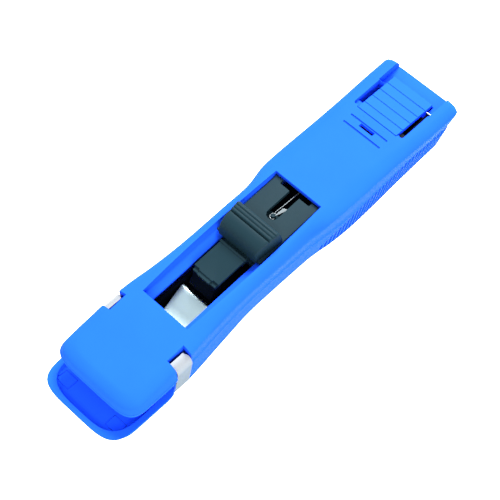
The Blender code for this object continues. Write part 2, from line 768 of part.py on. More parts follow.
def make_finger(black):
    """Pushing finger: a flat tongue in the window and a foot down to the clip's spine."""
    tongue = [
        (-6.0, -24.1),
        (-3.0, -24.1),
        (-3.0, -25.8),
        (2.9, -25.8),
        (2.9, -24.1),
        (6.0, -24.1),
        (6.0, -10.8),
        (-6.0, -10.8),
    ]
    body = prism_z("push_finger", scaled(tongue), -3.3 * MM, -1.9 * MM, black)
    low = (-5.6 * MM, -12.4 * MM, -4.5 * MM)
    fuse(body, box("add_finger_tail", low, (5.6 * MM, -4.0 * MM, -3.2 * MM)))
    low = (-5.6 * MM, -12.4 * MM, -4.4 * MM)
    fuse(body, box("add_finger_neck", low, (5.6 * MM, -10.9 * MM, -2.3 * MM)))
    foot = [
        (-22.6, -2.9),
        (-22.9, -9.0),
        (-24.6, -14.6),
        (-27.0, -14.6),
        (-28.2, -8.4),
        (-27.6, -7.4),
        (-25.6, -6.4),
        (-25.2, -2.9),
    ]
    fuse(body, prism_x("add_finger_foot", scaled(foot), -5.3 * MM, 5.3 * MM))
    hole = circle(SCREW_HOLE_RADIUS, (0.0, CARRIAGE_SCREW_Y), 24)
    cut(body, prism_z("cut_finger_screw", hole, -8 * MM, 0.0))
    return body


def make_finger_leaf(steel):
    """Leaf under the finger, clamped with its tail."""
    line = [(-8.4, -4.62), (-12.7, -4.62), (-14.6, -3.6), (-21.6, -3.6)]
    outline = scaled(line) + list(reversed(offset_path(scaled(line), 0.25 * MM)))
    return prism_x("finger_leaf", outline, -2.4 * MM, 2.4 * MM, steel)


def make_return_spring(steel):
    """Extension spring: hook round the slider's post, leg, coil, leg and rear loop."""
    path = []
    hook_y, level = SPRING_POST_Y / MM, -3.5
    for step in range(13):
        angle = math.radians(-30 - step * 20)
        path.append((1.25 * math.cos(angle), hook_y + 1.25 * math.sin(angle), level))
    path.append((-0.4, hook_y + 3.0, level + 0.1))
    coil_y, radius, turns, pitch = 27.0, 1.6, 13, 1.25
    centre = -5.2
    path.append((0.0, coil_y - 1.5, centre + radius))
    for step in range(turns * 14 + 1):
        angle = 2 * math.pi * step / 14
        y = coil_y + pitch * step / 14
        path.append((radius * math.sin(angle), y, centre + radius * math.cos(angle)))
    loop_y, loop_z = 51.9, -5.69
    path.append((0.0, loop_y - 3.0, loop_z + 1.5))
    for step in range(12):
        angle = math.radians(110 - step * 24)
        path.append((0.0, loop_y + 1.5 * math.cos(angle), loop_z + 1.5 * math.sin(angle)))
    points = [(x * MM, y * MM, z * MM) for x, y, z in path]
    return tube_along("return_spring", points, SPRING_WIRE_RADIUS, steel)


# ---------------------------------------------------------------- rear loading flap


def make_flap(blue):
    """Loading flap: a ribbed tongue, a barrel round its pin and a gate leg."""
    profile = [
        (FLAP_FRONT_Y + 0.1 * MM, 27.0 * MM),
        (FLAP_FRONT_Y + 0.35 * MM, 27.95 * MM),
        (FLAP_REAR_Y, 27.2 * MM),
        (FLAP_REAR_Y, 25.9 * MM),
        (80.2 * MM, 25.8 * MM),
        (66.5 * MM, 26.3 * MM),
        (65.8 * MM, 25.9 * MM),
        (65.4 * MM, 24.9 * MM),
        (64.3 * MM, 24.5 * MM),
        (63.2 * MM, 24.9 * MM),
        (62.8 * MM, 25.9 * MM),
    ]
    flap = prism_x("loading_flap", profile, -FLAP_HALF_WIDTH, FLAP_HALF_WIDTH, blue)
    leg = [(79.2, 26.2), (79.2, 15.6), (78.9, 12.8), (79.7, 12.4), (80.6, 15.0), (80.6, 26.2)]
    fuse(flap, prism_x("add_gate_leg", scaled(leg), -5.8 * MM, 5.8 * MM))
    catch = [(7.4, 26.2), (9.0, 26.2), (9.0, 24.6), (10.8, 24.6), (10.8, 23.9), (7.4, 23.9)]
    fuse(flap, prism_y("add_spring_catch", scaled(catch), 77.6 * MM, 79.6 * MM))
    for number, y in enumerate(FLAP_GROOVES_Y):
        low = (-GROOVE_HALF_LENGTH, y - GROOVE_HALF_WIDTH, 27.0 * MM)
        high = (GROOVE_HALF_LENGTH, y + GROOVE_HALF_WIDTH, 30 * MM)
        cut(flap, box(f"cut_flap_groove_{number}", low, high))
    pin = circle(FLAP_PIN_RADIUS + 0.2 * MM, (FLAP_PIN_Y, FLAP_PIN_Z), 24)
    cut(flap, prism_x("cut_flap_barrel", pin, -12 * MM, 12 * MM))
    return flap


def make_flap_spring(steel):
    """Leaf beside the flap: staked under the cover, its free end holds the flap's catch down."""
    line = [(58.9, 24.1), (66.5, 24.1), (77.0, 25.0), (80.8, 25.6)]
    outline = scaled(line) + list(reversed(offset_path(scaled(line), -0.3 * MM)))
    leaf = prism_x("flap_spring", outline, 8.0 * MM, 10.8 * MM, steel)
    cut(leaf, box("cut_leaf_arm", (7 * MM, 61.6 * MM, 22 * MM), (9.5 * MM, 84 * MM, 27 * MM)))
    cut(leaf, prism_z("cut_leaf_hole", circle(0.6 * MM, LEAF_PEG, 16), 22 * MM, 26 * MM))
    return leaf


# ---------------------------------------------------------------- assembly


def main():
    clear_scene()
    blue = material("body_blue", (0.035, 0.22, 0.85), 0.35, 0.0)
    black = material("slider_black", (0.02, 0.026, 0.03), 0.45, 0.0)
    steel = material("spring_steel", (0.72, 0.73, 0.74), 0.25, 1.0)

    make_lower_shell(blue)
    make_upper_shell(blue)
    make_band(steel)
    make_tray(black)
    make_magazine_plate(black)
    make_ramp("lower_ramp", 11.0 * MM, 8.8 * MM, steel)
    make_ramp("upper_ramp", 12.2 * MM, 14.0 * MM, steel)
    pin = circle(HINGE_PIN_RADIUS, (HINGE_Y, HINGE_Z), 24)
    prism_x("hinge_pin", pin, -12.0 * MM, 12.0 * MM, steel)
    for name, y in TRAY_SCREWS:
        make_screw(f"tray_screw_{name}", (0.0, y), 0.08 * MM, 6.2 * MM, steel)

    make_clip("clip_front", FRONT_CLIP_SPINE_Y, steel)
    for number in range(QUEUE_COUNT):
        spine_y = QUEUE_FIRST_SPINE_Y + QUEUE_PITCH * number
        make_clip(f"clip_queue_{number + 1}", spine_y, steel)

    frame = track_frame()
    ride_track(make_slider(black), frame)
    ride_track(make_carriage(black), frame)
    ride_track(make_finger(black), frame)
    ride_track(make_finger_leaf(steel), frame)
    screw = make_screw("carriage_screw", (0.0, CARRIAGE_SCREW_Y), -7.95 * MM, 1.2 * MM, steel)
    ride_track(screw, frame)
    pin = circle(SPRING_POST_RADIUS, (0.0, SPRING_POST_Y), 20)
    ride_track(prism_z("spring_post", pin, -6.2 * MM, -2.2 * MM, steel), frame)
    ride_track(make_return_spring(steel), frame)

    anchor = circle(ANCHOR_RADIUS, (ANCHOR_Y, ANCHOR_Z), 20)
    prism_x("spring_anchor", anchor, -3.7 * MM, 3.7 * MM, steel)
    make_flap(blue)
    flap_pin = circle(FLAP_PIN_RADIUS, (FLAP_PIN_Y, FLAP_PIN_Z), 20)
    prism_x("flap_pin", flap_pin, -11.3 * MM, 11.3 * MM, steel)
    make_flap_spring(steel)

    for obj in bpy.data.objects:
        if obj.type == "MESH" and not obj.hide_render:
            smooth(obj)


main()
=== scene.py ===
"""Looks of a paper clip applicator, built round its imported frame.

Shapes are drawn in millimetres in the part's frame, with the nose towards -Y and the underside
at z=0, and mesh_object turns them into metres. The slider and the pieces that travel with it
are drawn level round z=0, and on_track turns them into the sloping plane of the window.
"""

import json
import math

import bmesh
import bpy
from mathutils import Matrix, Vector


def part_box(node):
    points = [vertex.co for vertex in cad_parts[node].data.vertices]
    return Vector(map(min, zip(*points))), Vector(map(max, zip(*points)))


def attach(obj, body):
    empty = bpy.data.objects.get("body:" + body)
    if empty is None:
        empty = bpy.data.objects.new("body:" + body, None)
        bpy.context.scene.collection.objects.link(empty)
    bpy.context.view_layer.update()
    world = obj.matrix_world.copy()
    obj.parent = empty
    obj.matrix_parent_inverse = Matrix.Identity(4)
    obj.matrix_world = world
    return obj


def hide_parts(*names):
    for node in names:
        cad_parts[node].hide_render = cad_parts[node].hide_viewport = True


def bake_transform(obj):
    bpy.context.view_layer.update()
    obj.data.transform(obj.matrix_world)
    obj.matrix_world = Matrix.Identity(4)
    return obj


MM = 0.001

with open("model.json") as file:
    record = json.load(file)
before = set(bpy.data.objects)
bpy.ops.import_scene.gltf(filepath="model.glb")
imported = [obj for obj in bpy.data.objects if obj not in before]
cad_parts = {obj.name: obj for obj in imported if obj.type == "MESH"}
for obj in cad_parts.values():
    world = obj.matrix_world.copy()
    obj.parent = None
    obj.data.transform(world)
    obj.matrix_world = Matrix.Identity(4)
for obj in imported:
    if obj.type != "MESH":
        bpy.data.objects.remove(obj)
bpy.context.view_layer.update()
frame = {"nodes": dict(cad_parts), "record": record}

# Nodes of the frame that the shapes fit round
FLAP_LOW, FLAP_HIGH = [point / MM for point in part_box("loading_flap")]
BAND_LOW, BAND_HIGH = [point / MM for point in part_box("nose_band")]
PIN_LOW, PIN_HIGH = [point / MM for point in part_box("hinge_pin")]
PIN_END = PIN_HIGH.x
PIN_Y = (PIN_LOW.y + PIN_HIGH.y) / 2
PIN_Z = (PIN_LOW.z + PIN_HIGH.z) / 2

# Seam between the shells, and the plane of the window's rim: height at y=0 and slope
SEAM_Z = 15.0
RIM_Z = 26.85
TILT = math.radians(3.14)

# Grip grooves down both sides. Their upper ends rise in an arc, then climb evenly
RIB_PITCH = 2.0
RIB_GROOVE = 0.55  # half width at the mouth
RIB_BOTTOM = 0.3  # half width at the bottom
RIB_DEPTH = 0.6
RIB_FADE = 0.6  # height over which an end runs out
RIB_START = 20.0
RIB_END = 86.0
RIB_LOW = 0.5
RIB_TOP = 5.5  # upper end of the first groove
RIB_RISE = 9.0
RIB_RISE_LENGTH = 24.0
RIB_CLIMB = 4.5

# Near the hinge pin the grooves leave some plastic over its end
PIN_NEAR_Y = 2.2
PIN_NEAR_Z = 1.9
PIN_COVER = 0.12

# Body outline: y, half width at z=0, half width at the shoulder, height of the shoulder,
# half width of the flat top, height of the top
BASE_X, SHOULDER_X, SHOULDER_Z, FLAT_X, TOP_Z = range(1, 6)
OUTLINE = [
    (-80.0, 16.3, 18.55, 17.4, 14.4, 19.5),
    (-75.0, 16.4, 18.5, 17.9, 14.4, 20.25),
    (-70.0, 16.4, 18.45, 18.4, 14.3, 21.0),
    (-65.0, 16.4, 18.4, 19.0, 14.2, 21.8),
    (-60.0, 16.3, 18.35, 19.7, 14.1, 22.5),
    (-55.0, 15.9, 18.2, 20.6, 13.9, 23.15),
    (-50.0, 15.7, 17.9, 21.4, 13.6, 23.7),
    (-43.0, 15.0, 17.3, 22.0, 12.9, 24.25),
    (-35.0, 14.0, 16.5, 22.0, 12.7, 24.85),
    (-25.0, 12.8, 15.8, 22.2, 12.6, 25.45),
    (-15.0, 11.75, 15.55, 22.4, 12.6, 26.0),
    (0.0, 11.5, 15.6, 22.6, 12.7, 26.85),
    (8.0, 11.5, 15.55, 22.7, 12.6, 27.25),
    (12.0, 11.5, 15.7, 22.9, 12.5, 27.5),
    (16.0, 11.55, 16.3, 23.7, 12.2, 27.75),
    (20.0, 11.9, 16.95, 24.6, 11.4, 28.0),
    (26.0, 12.7, 17.25, 25.0, 10.7, 28.1),
    (36.0, 13.2, 17.3, 25.0, 10.6, 28.1),
    (50.0, 12.8, 17.2, 25.0, 12.0, 28.05),
    (62.0, 12.2, 17.3, 25.0, 13.4, 28.05),
    (75.0, 11.7, 17.6, 25.0, 14.2, 28.1),
    (88.0, 11.3, 17.6, 25.2, 14.4, 28.4),
]


# ---------------- numbers and outlines


def section(y, column):
    """Smooth value of a column of the body's outline at y."""
    if y <= OUTLINE[0][0]:
        return OUTLINE[0][column]
    if y >= OUTLINE[-1][0]:
        return OUTLINE[-1][column]
    i = max(n for n in range(len(OUTLINE) - 1) if OUTLINE[n][0] <= y)
    y0, y1 = OUTLINE[i][0], OUTLINE[i + 1][0]
    v0, v1 = OUTLINE[i][column], OUTLINE[i + 1][column]
    before = OUTLINE[max(i - 1, 0)]
    after = OUTLINE[min(i + 2, len(OUTLINE) - 1)]
    span = y1 - y0
    m0 = (v1 - before[column]) / max(y1 - before[0], 1e-6) * span
    m1 = (after[column] - v0) / max(after[0] - y0, 1e-6) * span
    t = (y - y0) / span
    a = 2 * t**3 - 3 * t**2 + 1
    b = t**3 - 2 * t**2 + t
    c = -2 * t**3 + 3 * t**2
    return a * v0 + b * m0 + c * v1 + (t**3 - t**2) * m1


def wall_x(y, z):
    """Half width of the drafted wall at y and z."""
    base = section(y, BASE_X)
    shoulder = section(y, SHOULDER_X)
    return base + (shoulder - base) * z / section(y, SHOULDER_Z)


def rim_z(y):
    return RIM_Z + y * math.tan(TILT)


def ease(t):
    t = min(max(t, 0.0), 1.0)
    return t * t * (3 - 2 * t)


def rib_top(y):
    """Height of the upper end of the grip grooves at y."""
    rise = min((y - RIB_START) / RIB_RISE_LENGTH, 1.0)
    flat = RIB_START + RIB_RISE_LENGTH
    climb = RIB_CLIMB * max(y - flat, 0.0) / (RIB_END - flat)
    return RIB_TOP + RIB_RISE * math.sin(math.pi / 2 * rise) + climb


def rib_depth(y, z):
    """Depth of the grip groove at y and z."""
    if not RIB_START <= y <= RIB_END:
        return 0.0
    fade = ease((rib_top(y) - z) / RIB_FADE) * ease((z - RIB_LOW) / RIB_FADE)
    away = abs((y - RIB_START) / RIB_PITCH % 1.0 - 0.5) * RIB_PITCH
    share = (RIB_GROOVE - away) / (RIB_GROOVE - RIB_BOTTOM)
    depth = RIB_DEPTH * min(max(share, 0.0), 1.0) * fade
    if abs(y - PIN_Y) < PIN_NEAR_Y and abs(z - PIN_Z) < PIN_NEAR_Z:
        depth = max(0.0, min(depth, wall_x(y, z) - PIN_END - PIN_COVER))
    return depth


def spread(start, end, step):
    """Even stations from start to end, about a step apart."""
    count = max(1, round((end - start) / step))
    return [start + (end - start) * i / count for i in range(count + 1)]


def rib_stations(end):
    """Stations that follow the grip grooves from their start to the end."""
    stations = []
    edges = (-RIB_GROOVE, -RIB_BOTTOM, RIB_BOTTOM, RIB_GROOVE)
    for number in range(int((end - RIB_START) / RIB_PITCH)):
        middle = RIB_START + (number + 0.5) * RIB_PITCH
        stations += [middle + edge for edge in edges]
    return stations + [end]


def corner(width, length, power, count):
    """A rounded quarter outline from (0, length) to (width, 0)."""
    points = []
    for i in range(count + 1):
        angle = math.pi / 2 * (1 - i / count)
        c, s = abs(math.cos(angle)), abs(math.sin(angle))
        reach = (c**power + s**power) ** (-1 / power)
        points.append((width * reach * c, length * reach * s))
    points[0] = (0.0, length)
    points[-1] = (width, 0.0)
    return points


def loop(width, height, stations, front, rear):
    """A closed, symmetric ring: width(y) and height(y) along the stations, rounded at both ends.

    front and rear are (length, power, count). The first point is at the middle of the front.
    """
    first, last = stations[0], stations[-1]
    half = [(x, first - y) for x, y in corner(width(first), front[0], front[1], front[2])]
    half += [(width(y), y) for y in stations[1:-1]]
    half += [(x, last + y) for x, y in reversed(corner(width(last), rear[0], rear[1], rear[2]))]
    points = [(x, y, height(y)) for x, y in half]
    return points + [(-x, y, z) for x, y, z in reversed(points[1:-1])]


# ---------------- meshes


def mesh_object(name, points, faces, scale=MM):
    mesh = bpy.data.meshes.new(name)
    mesh.from_pydata([tuple(c * scale for c in p) for p in points], [], faces)
    work = bmesh.new()
    work.from_mesh(mesh)
    bmesh.ops.remove_doubles(work, verts=work.verts, dist=1e-7)
    bmesh.ops.recalc_face_normals(work, faces=work.faces)
    work.to_mesh(mesh)
    work.free()
    obj = bpy.data.objects.new(name, mesh)
    bpy.context.scene.collection.objects.link(obj)
    return obj


def side_faces(count, rings):
    """Faces that join rings of count points, each ring to the next."""
    faces = []
    for low in range(0, (rings - 1) * count, count):
        for i in range(count):
            j = (i + 1) % count
            faces.append((low + i, low + j, low + count + j, low + count + i))
    return faces


def skin(name, rings):
    """Joins symmetric closed rings; strips across close the ends."""
    count = len(rings[0])
    half = count // 2
    faces = side_faces(count, len(rings))
    for base in (0, (len(rings) - 1) * count):
        ring = [base + i for i in range(count)]
        faces.append((ring[-2], ring[-1], ring[0], ring[1], ring[2]))
        faces.append(tuple(ring[half - 2:half + 3]))
        for i in range(2, half - 2):
            faces.append((ring[i], ring[i + 1], ring[-i - 1], ring[-i]))
    return mesh_object(name, [point for ring in rings for point in ring], faces)


def tube(name, rings):
    """Joins closed rings; one face closes each end."""
    count = len(rings[0])
    faces = side_faces(count, len(rings))
    for base in (0, (len(rings) - 1) * count):
        faces.append(tuple(range(base, base + count)))
    return mesh_object(name, [point for ring in rings for point in ring], faces)


def prism(name, outline, low, high, axis="z"):
    """An outline extruded along an axis: x takes (y, z), y takes (x, z), z takes (x, y)."""
    place = {
        "x": lambda a, b, e: (e, a, b),
        "y": lambda a, b, e: (a, e, b),
        "z": lambda a, b, e: (a, b, e),
    }[axis]
    return tube(name, [[place(a, b, end) for a, b in outline] for end in (low, high)])


def loft_y(name, sections):
    """Sections of (y, X-Z outline) joined along Y."""
    return tube(name, [[(x, y, z) for x, z in outline] for y, outline in sections])


def block(name, low, high):
    """A block between two corners."""
    outline = [(low[0], low[2]), (high[0], low[2]), (high[0], high[2]), (low[0], high[2])]
    return prism(name, outline, low[1], high[1], "y")


def beside(name, side, near, far, low, high):
    """A block on one side of the middle, between two distances from it and two (y, z) corners."""
    x0, x1 = sorted((side * near, side * far))
    return block(name, (x0, *low), (x1, *high))


def disc(radius, centre, sides=40):
    turns = [2 * math.pi * i / sides for i in range(sides)]
    return [(centre[0] + radius * math.cos(a), centre[1] + radius * math.sin(a)) for a in turns]


def rounded_rect(x0, y0, x1, y1, radius, steps=6):
    points = []
    for cx, cy, start in ((x1, y1, 0), (x0, y1, 90), (x0, y0, 180), (x1, y0, 270)):
        ox = cx - radius if cx == x1 else cx + radius
        oy = cy - radius if cy == y1 else cy + radius
        for i in range(steps + 1):
            angle = math.radians(start + 90 * i / steps)
            points.append((ox + radius * math.cos(angle), oy + radius * math.sin(angle)))
    return points


def mirrored(half):
    return half + [(-x, z) for x, z in reversed(half)]


def boolean(target, tools, operation="DIFFERENCE"):
    """Applies Booleans one after another and removes the helpers."""
    for tool in tools:
        modifier = target.modifiers.new(tool.name, "BOOLEAN")
        modifier.operation = operation
        modifier.solver = "EXACT"
        modifier.object = tool
    apply(target)
    for tool in tools:
        bpy.data.objects.remove(tool, do_unlink=True)


def apply(obj):
    """Replaces the mesh with what the modifiers make of it."""
    bpy.context.view_layer.update()
    graph = bpy.context.evaluated_depsgraph_get()
    made = bpy.data.meshes.new_from_object(obj.evaluated_get(graph))
    obj.modifiers.clear()
    obj.data = made
    made.name = obj.name


def bevel(obj, width, segments=2, angle=35.0):
    modifier = obj.modifiers.new("edges", "BEVEL")
    modifier.width = width * MM
    modifier.segments = segments
    modifier.limit_method = "ANGLE"
    modifier.angle_limit = math.radians(angle)
    apply(obj)


def wire(name, path, radius, sides):
    """A round wire along a path, closed at both ends."""
    path = [Vector(p) for p in path]
    rings, normal = [], None
    for i, point in enumerate(path):
        tangent = (path[min(i + 1, len(path) - 1)] - path[max(i - 1, 0)]).normalized()
        if normal is None:
            normal = Vector((0, 0, 1)) if abs(tangent.z) < 0.9 else Vector((1, 0, 0))
        normal = (normal - tangent * normal.dot(tangent)).normalized()
        side = tangent.cross(normal)
        turns = [2 * math.pi * k / sides for k in range(sides)]
        rings.append([point + (normal * math.cos(a) + side * math.sin(a)) * radius for a in turns])
    return tube(name, rings)


def plate(name, rows, thickness):
    """A bent sheet: rows of points give its outer face, and it is thickened inwards."""
    height, width = len(rows), len(rows[0])
    grid = [[Vector(p) for p in row] for row in rows]
    points = [tuple(p) for row in grid for p in row]
    for r in range(height):
        for c in range(width):
            along = grid[min(r + 1, height - 1)][c] - grid[max(r - 1, 0)][c]
            across = grid[r][min(c + 1, width - 1)] - grid[r][max(c - 1, 0)]
            normal = along.cross(across).normalized()
            points.append(tuple(grid[r][c] - normal * thickness))
    faces = []
    shift = height * width
    for r in range(height - 1):
        for c in range(width - 1):
            a, b = r * width + c, r * width + c + 1
            d, e = a + width, b + width
            faces += [(a, b, e, d), (a + shift, d + shift, e + shift, b + shift)]
    edge = list(range(width)) + [r * width + width - 1 for r in range(1, height)]
    edge += [(height - 1) * width + c for c in range(width - 2, -1, -1)]
    edge += [r * width for r in range(height - 2, 0, -1)]
    for i, a in enumerate(edge):
        b = edge[(i + 1) % len(edge)]
        faces.append((a, b, b + shift, a + shift))
    return mesh_object(name, points, faces)


def on_track(obj):
    """Turns a piece built level at z=0 into the sloping plane of the window's rim."""
    turn = Matrix.Translation((0, 0, RIM_Z * MM)) @ Matrix.Rotation(TILT, 4, "X")
    obj.data.transform(turn)


# ---------------- materials


def nodes_of(name):
    """A new material, its node tree and its Principled BSDF."""
    material = bpy.data.materials.new(name)
    material.use_nodes = True
    tree = material.node_tree
    return material, tree, tree.nodes["Principled BSDF"]


def noise(tree, scale, detail=3.0, stretch=None):
    """Noise over the object, finer or coarser along each axis when stretch is given."""
    place = tree.nodes.new("ShaderNodeTexCoord")
    texture = tree.nodes.new("ShaderNodeTexNoise")
    texture.inputs["Scale"].default_value = scale
    texture.inputs["Detail"].default_value = detail
    texture.inputs["Roughness"].default_value = 0.55
    source = place.outputs["Object"]
    if stretch:
        mapping = tree.nodes.new("ShaderNodeMapping")
        mapping.inputs["Scale"].default_value = stretch
        tree.links.new(source, mapping.inputs["Vector"])
        source = mapping.outputs["Vector"]
    tree.links.new(source, texture.inputs["Vector"])
    return texture.outputs["Fac"]


def ranged(tree, value, low, high, start=0.3, end=0.7):
    """Maps a value from start..end to low..high."""
    node = tree.nodes.new("ShaderNodeMapRange")
    node.inputs["From Min"].default_value = start
    node.inputs["From Max"].default_value = end
    node.inputs["To Min"].default_value = low
    node.inputs["To Max"].default_value = high
    tree.links.new(value, node.inputs["Value"])
    return node.outputs["Result"]


def mixed(tree, factor, a, b):
    """Mixes two colours; each is three numbers or a socket."""
    node = tree.nodes.new("ShaderNodeMix")
    node.data_type = "RGBA"
    tree.links.new(factor, node.inputs["Factor"])
    for name, colour in (("A", a), ("B", b)):
        socket = [s for s in node.inputs if s.name == name and s.type == "RGBA"][0]
        if isinstance(colour, tuple):
            socket.default_value = (*colour, 1.0)
        else:
            tree.links.new(colour, socket)
    return [s for s in node.outputs if s.type == "RGBA"][0]


def pointiness_mask(tree, start=0.52, end=0.6):
    """Rises from 0 to 1 with how far a place stands out: below 0.5 it is in a hollow."""
    geometry = tree.nodes.new("ShaderNodeNewGeometry")
    return ranged(tree, geometry.outputs["Pointiness"], 0.0, 1.0, start, end)


def bumped(tree, shader, height, strength, distance, rounding):
    """Fine relief; a rounding also softens the shading of sharp edges by that radius."""
    bump = tree.nodes.new("ShaderNodeBump")
    bump.inputs["Strength"].default_value = strength
    bump.inputs["Distance"].default_value = distance
    tree.links.new(height, bump.inputs["Height"])
    if rounding:
        soft = tree.nodes.new("ShaderNodeBevel")
        soft.samples = 4
        soft.inputs["Radius"].default_value = rounding
        tree.links.new(soft.outputs["Normal"], bump.inputs["Normal"])
    tree.links.new(bump.outputs["Normal"], shader.inputs["Normal"])


def sums(tree, operation, a, b=0.0):
    """One arithmetic node; a and b are numbers or sockets."""
    node = tree.nodes.new("ShaderNodeMath")
    node.operation = operation
    for socket, value in zip(node.inputs, (a, b)):
        if isinstance(value, float):
            socket.default_value = value
        else:
            tree.links.new(value, socket)
    return node.outputs["Value"]


def groove_shade(tree):
    """1 inside the grip grooves, where little light reaches, and 0 elsewhere."""
    place = tree.nodes.new("ShaderNodeTexCoord")
    split = tree.nodes.new("ShaderNodeSeparateXYZ")
    tree.links.new(place.outputs["Object"], split.inputs["Vector"])
    y = sums(tree, "MULTIPLY", split.outputs["Y"], 1 / MM)
    z = sums(tree, "MULTIPLY", split.outputs["Z"], 1 / MM)
    turns = sums(tree, "DIVIDE", sums(tree, "SUBTRACT", y, RIB_START), RIB_PITCH)
    away = sums(tree, "ABSOLUTE", sums(tree, "SUBTRACT", sums(tree, "FRACT", turns), 0.5))
    line = ranged(tree, away, 1.0, 0.0, 0.75 * RIB_GROOVE / RIB_PITCH, RIB_GROOVE / RIB_PITCH)
    rise = ranged(tree, y, 0.0, math.pi / 2, RIB_START, RIB_START + RIB_RISE_LENGTH)
    top = sums(tree, "ADD", sums(tree, "MULTIPLY", sums(tree, "SINE", rise), RIB_RISE), RIB_TOP)
    climb = ranged(tree, y, 0.0, RIB_CLIMB, RIB_START + RIB_RISE_LENGTH, RIB_END)
    top = sums(tree, "ADD", top, climb)
    fade = 0.5
    below = ranged(tree, sums(tree, "SUBTRACT", top, z), 0.0, 1.0, 0.0, fade)
    above = ranged(tree, z, 0.0, 1.0, RIB_LOW, RIB_LOW + fade)
    behind = sums(tree, "GREATER_THAN", y, RIB_START)
    before = sums(tree, "LESS_THAN", y, RIB_END)
    shade = line
    for gate in (below, above, behind, before):
        shade = sums(tree, "MULTIPLY", shade, gate)
    return shade


def plastic(name, colour, lighter, roughness, grain, specular, rounding=0.00022, grooves=False):
    """Moulded plastic: fine grain, faint mottling, uneven sheen, painted shade in hollows and
    grooves, and paler edges.
    """
    material, tree, shader = nodes_of(name)
    mottled = tuple(c * 0.96 for c in colour)
    base = mixed(tree, ranged(tree, noise(tree, 90.0, 4.0), 0.0, 1.0), mottled, colour)
    # Painted shade: hollows, found from the mesh's pointiness, darken to 0.3 of the colour
    hollow = tuple(c * 0.3 for c in colour)
    base = mixed(tree, pointiness_mask(tree, 0.42, 0.488), hollow, base)
    base = mixed(tree, ranged(tree, pointiness_mask(tree), 0.0, 0.12, 0.0, 1.0), base, lighter)
    # Painted shade along the grip grooves of the body's sides
    if grooves:
        base = mixed(tree, groove_shade(tree), base, hollow)
    tree.links.new(base, shader.inputs["Base Color"])
    sheen = ranged(tree, noise(tree, 420.0, 4.0), roughness - 0.02, roughness + 0.03)
    tree.links.new(sheen, shader.inputs["Roughness"])
    shader.inputs["Specular IOR Level"].default_value = specular
    bumped(tree, shader, noise(tree, grain, 3.0), 0.12, 0.00005, rounding)
    return material


def metal(name, colour, roughness, stretch, strength=0.1, low=None):
    """Bright metal: drawn or brushed lines, uneven sheen and faint stains.

    low is a darker tone painted on the band's lower part, where it runs down the body's side: a
    painted reflection of the darker surroundings that part faces.
    """
    material, tree, shader = nodes_of(name)
    if low:
        # Painted reflection: the tone goes from low at the bottom to colour at the top
        place = tree.nodes.new("ShaderNodeTexCoord")
        split = tree.nodes.new("ShaderNodeSeparateXYZ")
        tree.links.new(place.outputs["Object"], split.inputs["Vector"])
        dark_reflection_z, bright_reflection_z = 16.5 * MM, 20.5 * MM
        rise = ranged(tree, split.outputs["Z"], 0.0, 1.0, dark_reflection_z, bright_reflection_z)
        tone = mixed(tree, rise, low, colour)
        dull = mixed(tree, rise, tuple(c * 0.92 for c in low), tuple(c * 0.92 for c in colour))
    else:
        tone = colour
        dull = tuple(c * 0.92 for c in colour)
    base = mixed(tree, ranged(tree, noise(tree, 160.0, 5.0), 0.0, 1.0, 0.35, 0.75), tone, dull)
    tree.links.new(base, shader.inputs["Base Color"])
    lines = noise(tree, 700.0, 4.0, stretch)
    sheen = ranged(tree, lines, roughness - 0.03, roughness + 0.05)
    tree.links.new(sheen, shader.inputs["Roughness"])
    shader.inputs["Metallic"].default_value = 1.0
    bumped(tree, shader, lines, strength, 0.00002, 0.0001)
    return material


SLOTS = {
    "body_blue": plastic(
        "body_blue", (0.012, 0.094, 1.0), (0.02, 0.13, 1.0), 0.5, 2600.0, 0.005,
        rounding=0.0, grooves=True,
    ),
    "slider_black": plastic(
        "slider_black", (0.0075, 0.0215, 0.029), (0.016, 0.038, 0.05), 0.48, 2200.0, 0.045,
    ),
    "tray_black": plastic(
        "tray_black", (0.0015, 0.003, 0.006), (0.004, 0.007, 0.012), 0.5, 2200.0, 0.03,
    ),
    # The band's low tone is a painted darker reflection on its lower part
    "band_steel": metal(
        "band_steel", (0.33, 0.35, 0.37), 0.55, (1.0, 14.0, 1.0), low=(0.12, 0.165, 0.195),
    ),
    "spring_steel": metal("spring_steel", (0.17, 0.195, 0.205), 0.42, (1.0, 8.0, 1.0)),
    "screw_steel": metal("screw_steel", (0.50, 0.51, 0.52), 0.34, (1.0, 1.0, 1.0)),
    "clip_steel": metal("clip_steel", (0.295, 0.385, 0.41), 0.34, (6.0, 1.0, 1.0), strength=0.03),
}


def finish_piece(obj, slot, body, *nodes, angle=30.0, bends=None):
    """Gives a piece its material, smooth shading and place in the frame.

    A piece given bends is only baked where it stands and not attached to its body; the second body
    and the start and end of the bending that bends names are not used.
    """
    obj.data.materials.clear()
    obj.data.materials.append(SLOTS[slot])
    obj.data.shade_smooth()
    obj.data.set_sharp_from_angle(angle=math.radians(angle))
    if bends:
        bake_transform(obj)
    else:
        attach(obj, body)
    if nodes:
        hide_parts(*nodes)


# ---------------- upper shell

# The sides run between the two centres, and rounded ends go on beyond them
NOSE_CENTRE_Y = -66.0
NOSE_LENGTH = 13.15
NOSE_POWER = 5.2
REAR_CENTRE_Y = 84.4
REAR_LENGTH = 3.1
REAR_POWER = 6.0
REAR_LEAN = 1.6
WINDOW_FRONT = -43.8
WINDOW_REAR = 21.8

# How far the rounded edge of the top draws in at the nose and at the rear
EDGE_NOSE = 0.75
TOP_NOSE = 4.95
TOP_REAR = 1.7

# Lip along the nose's lower edge
LIP_DEPTH = 0.22
LIP_HEIGHT = 1.3

# Notches of the steel band. The seat is cut this far inside the band's outer face
NOTCH_FRONT = -56.4
NOTCH_REAR = -48.7
NOTCH_FLOOR = 18.2
NOTCH_WALL = 14.0
SEAT_DEPTH = 0.85


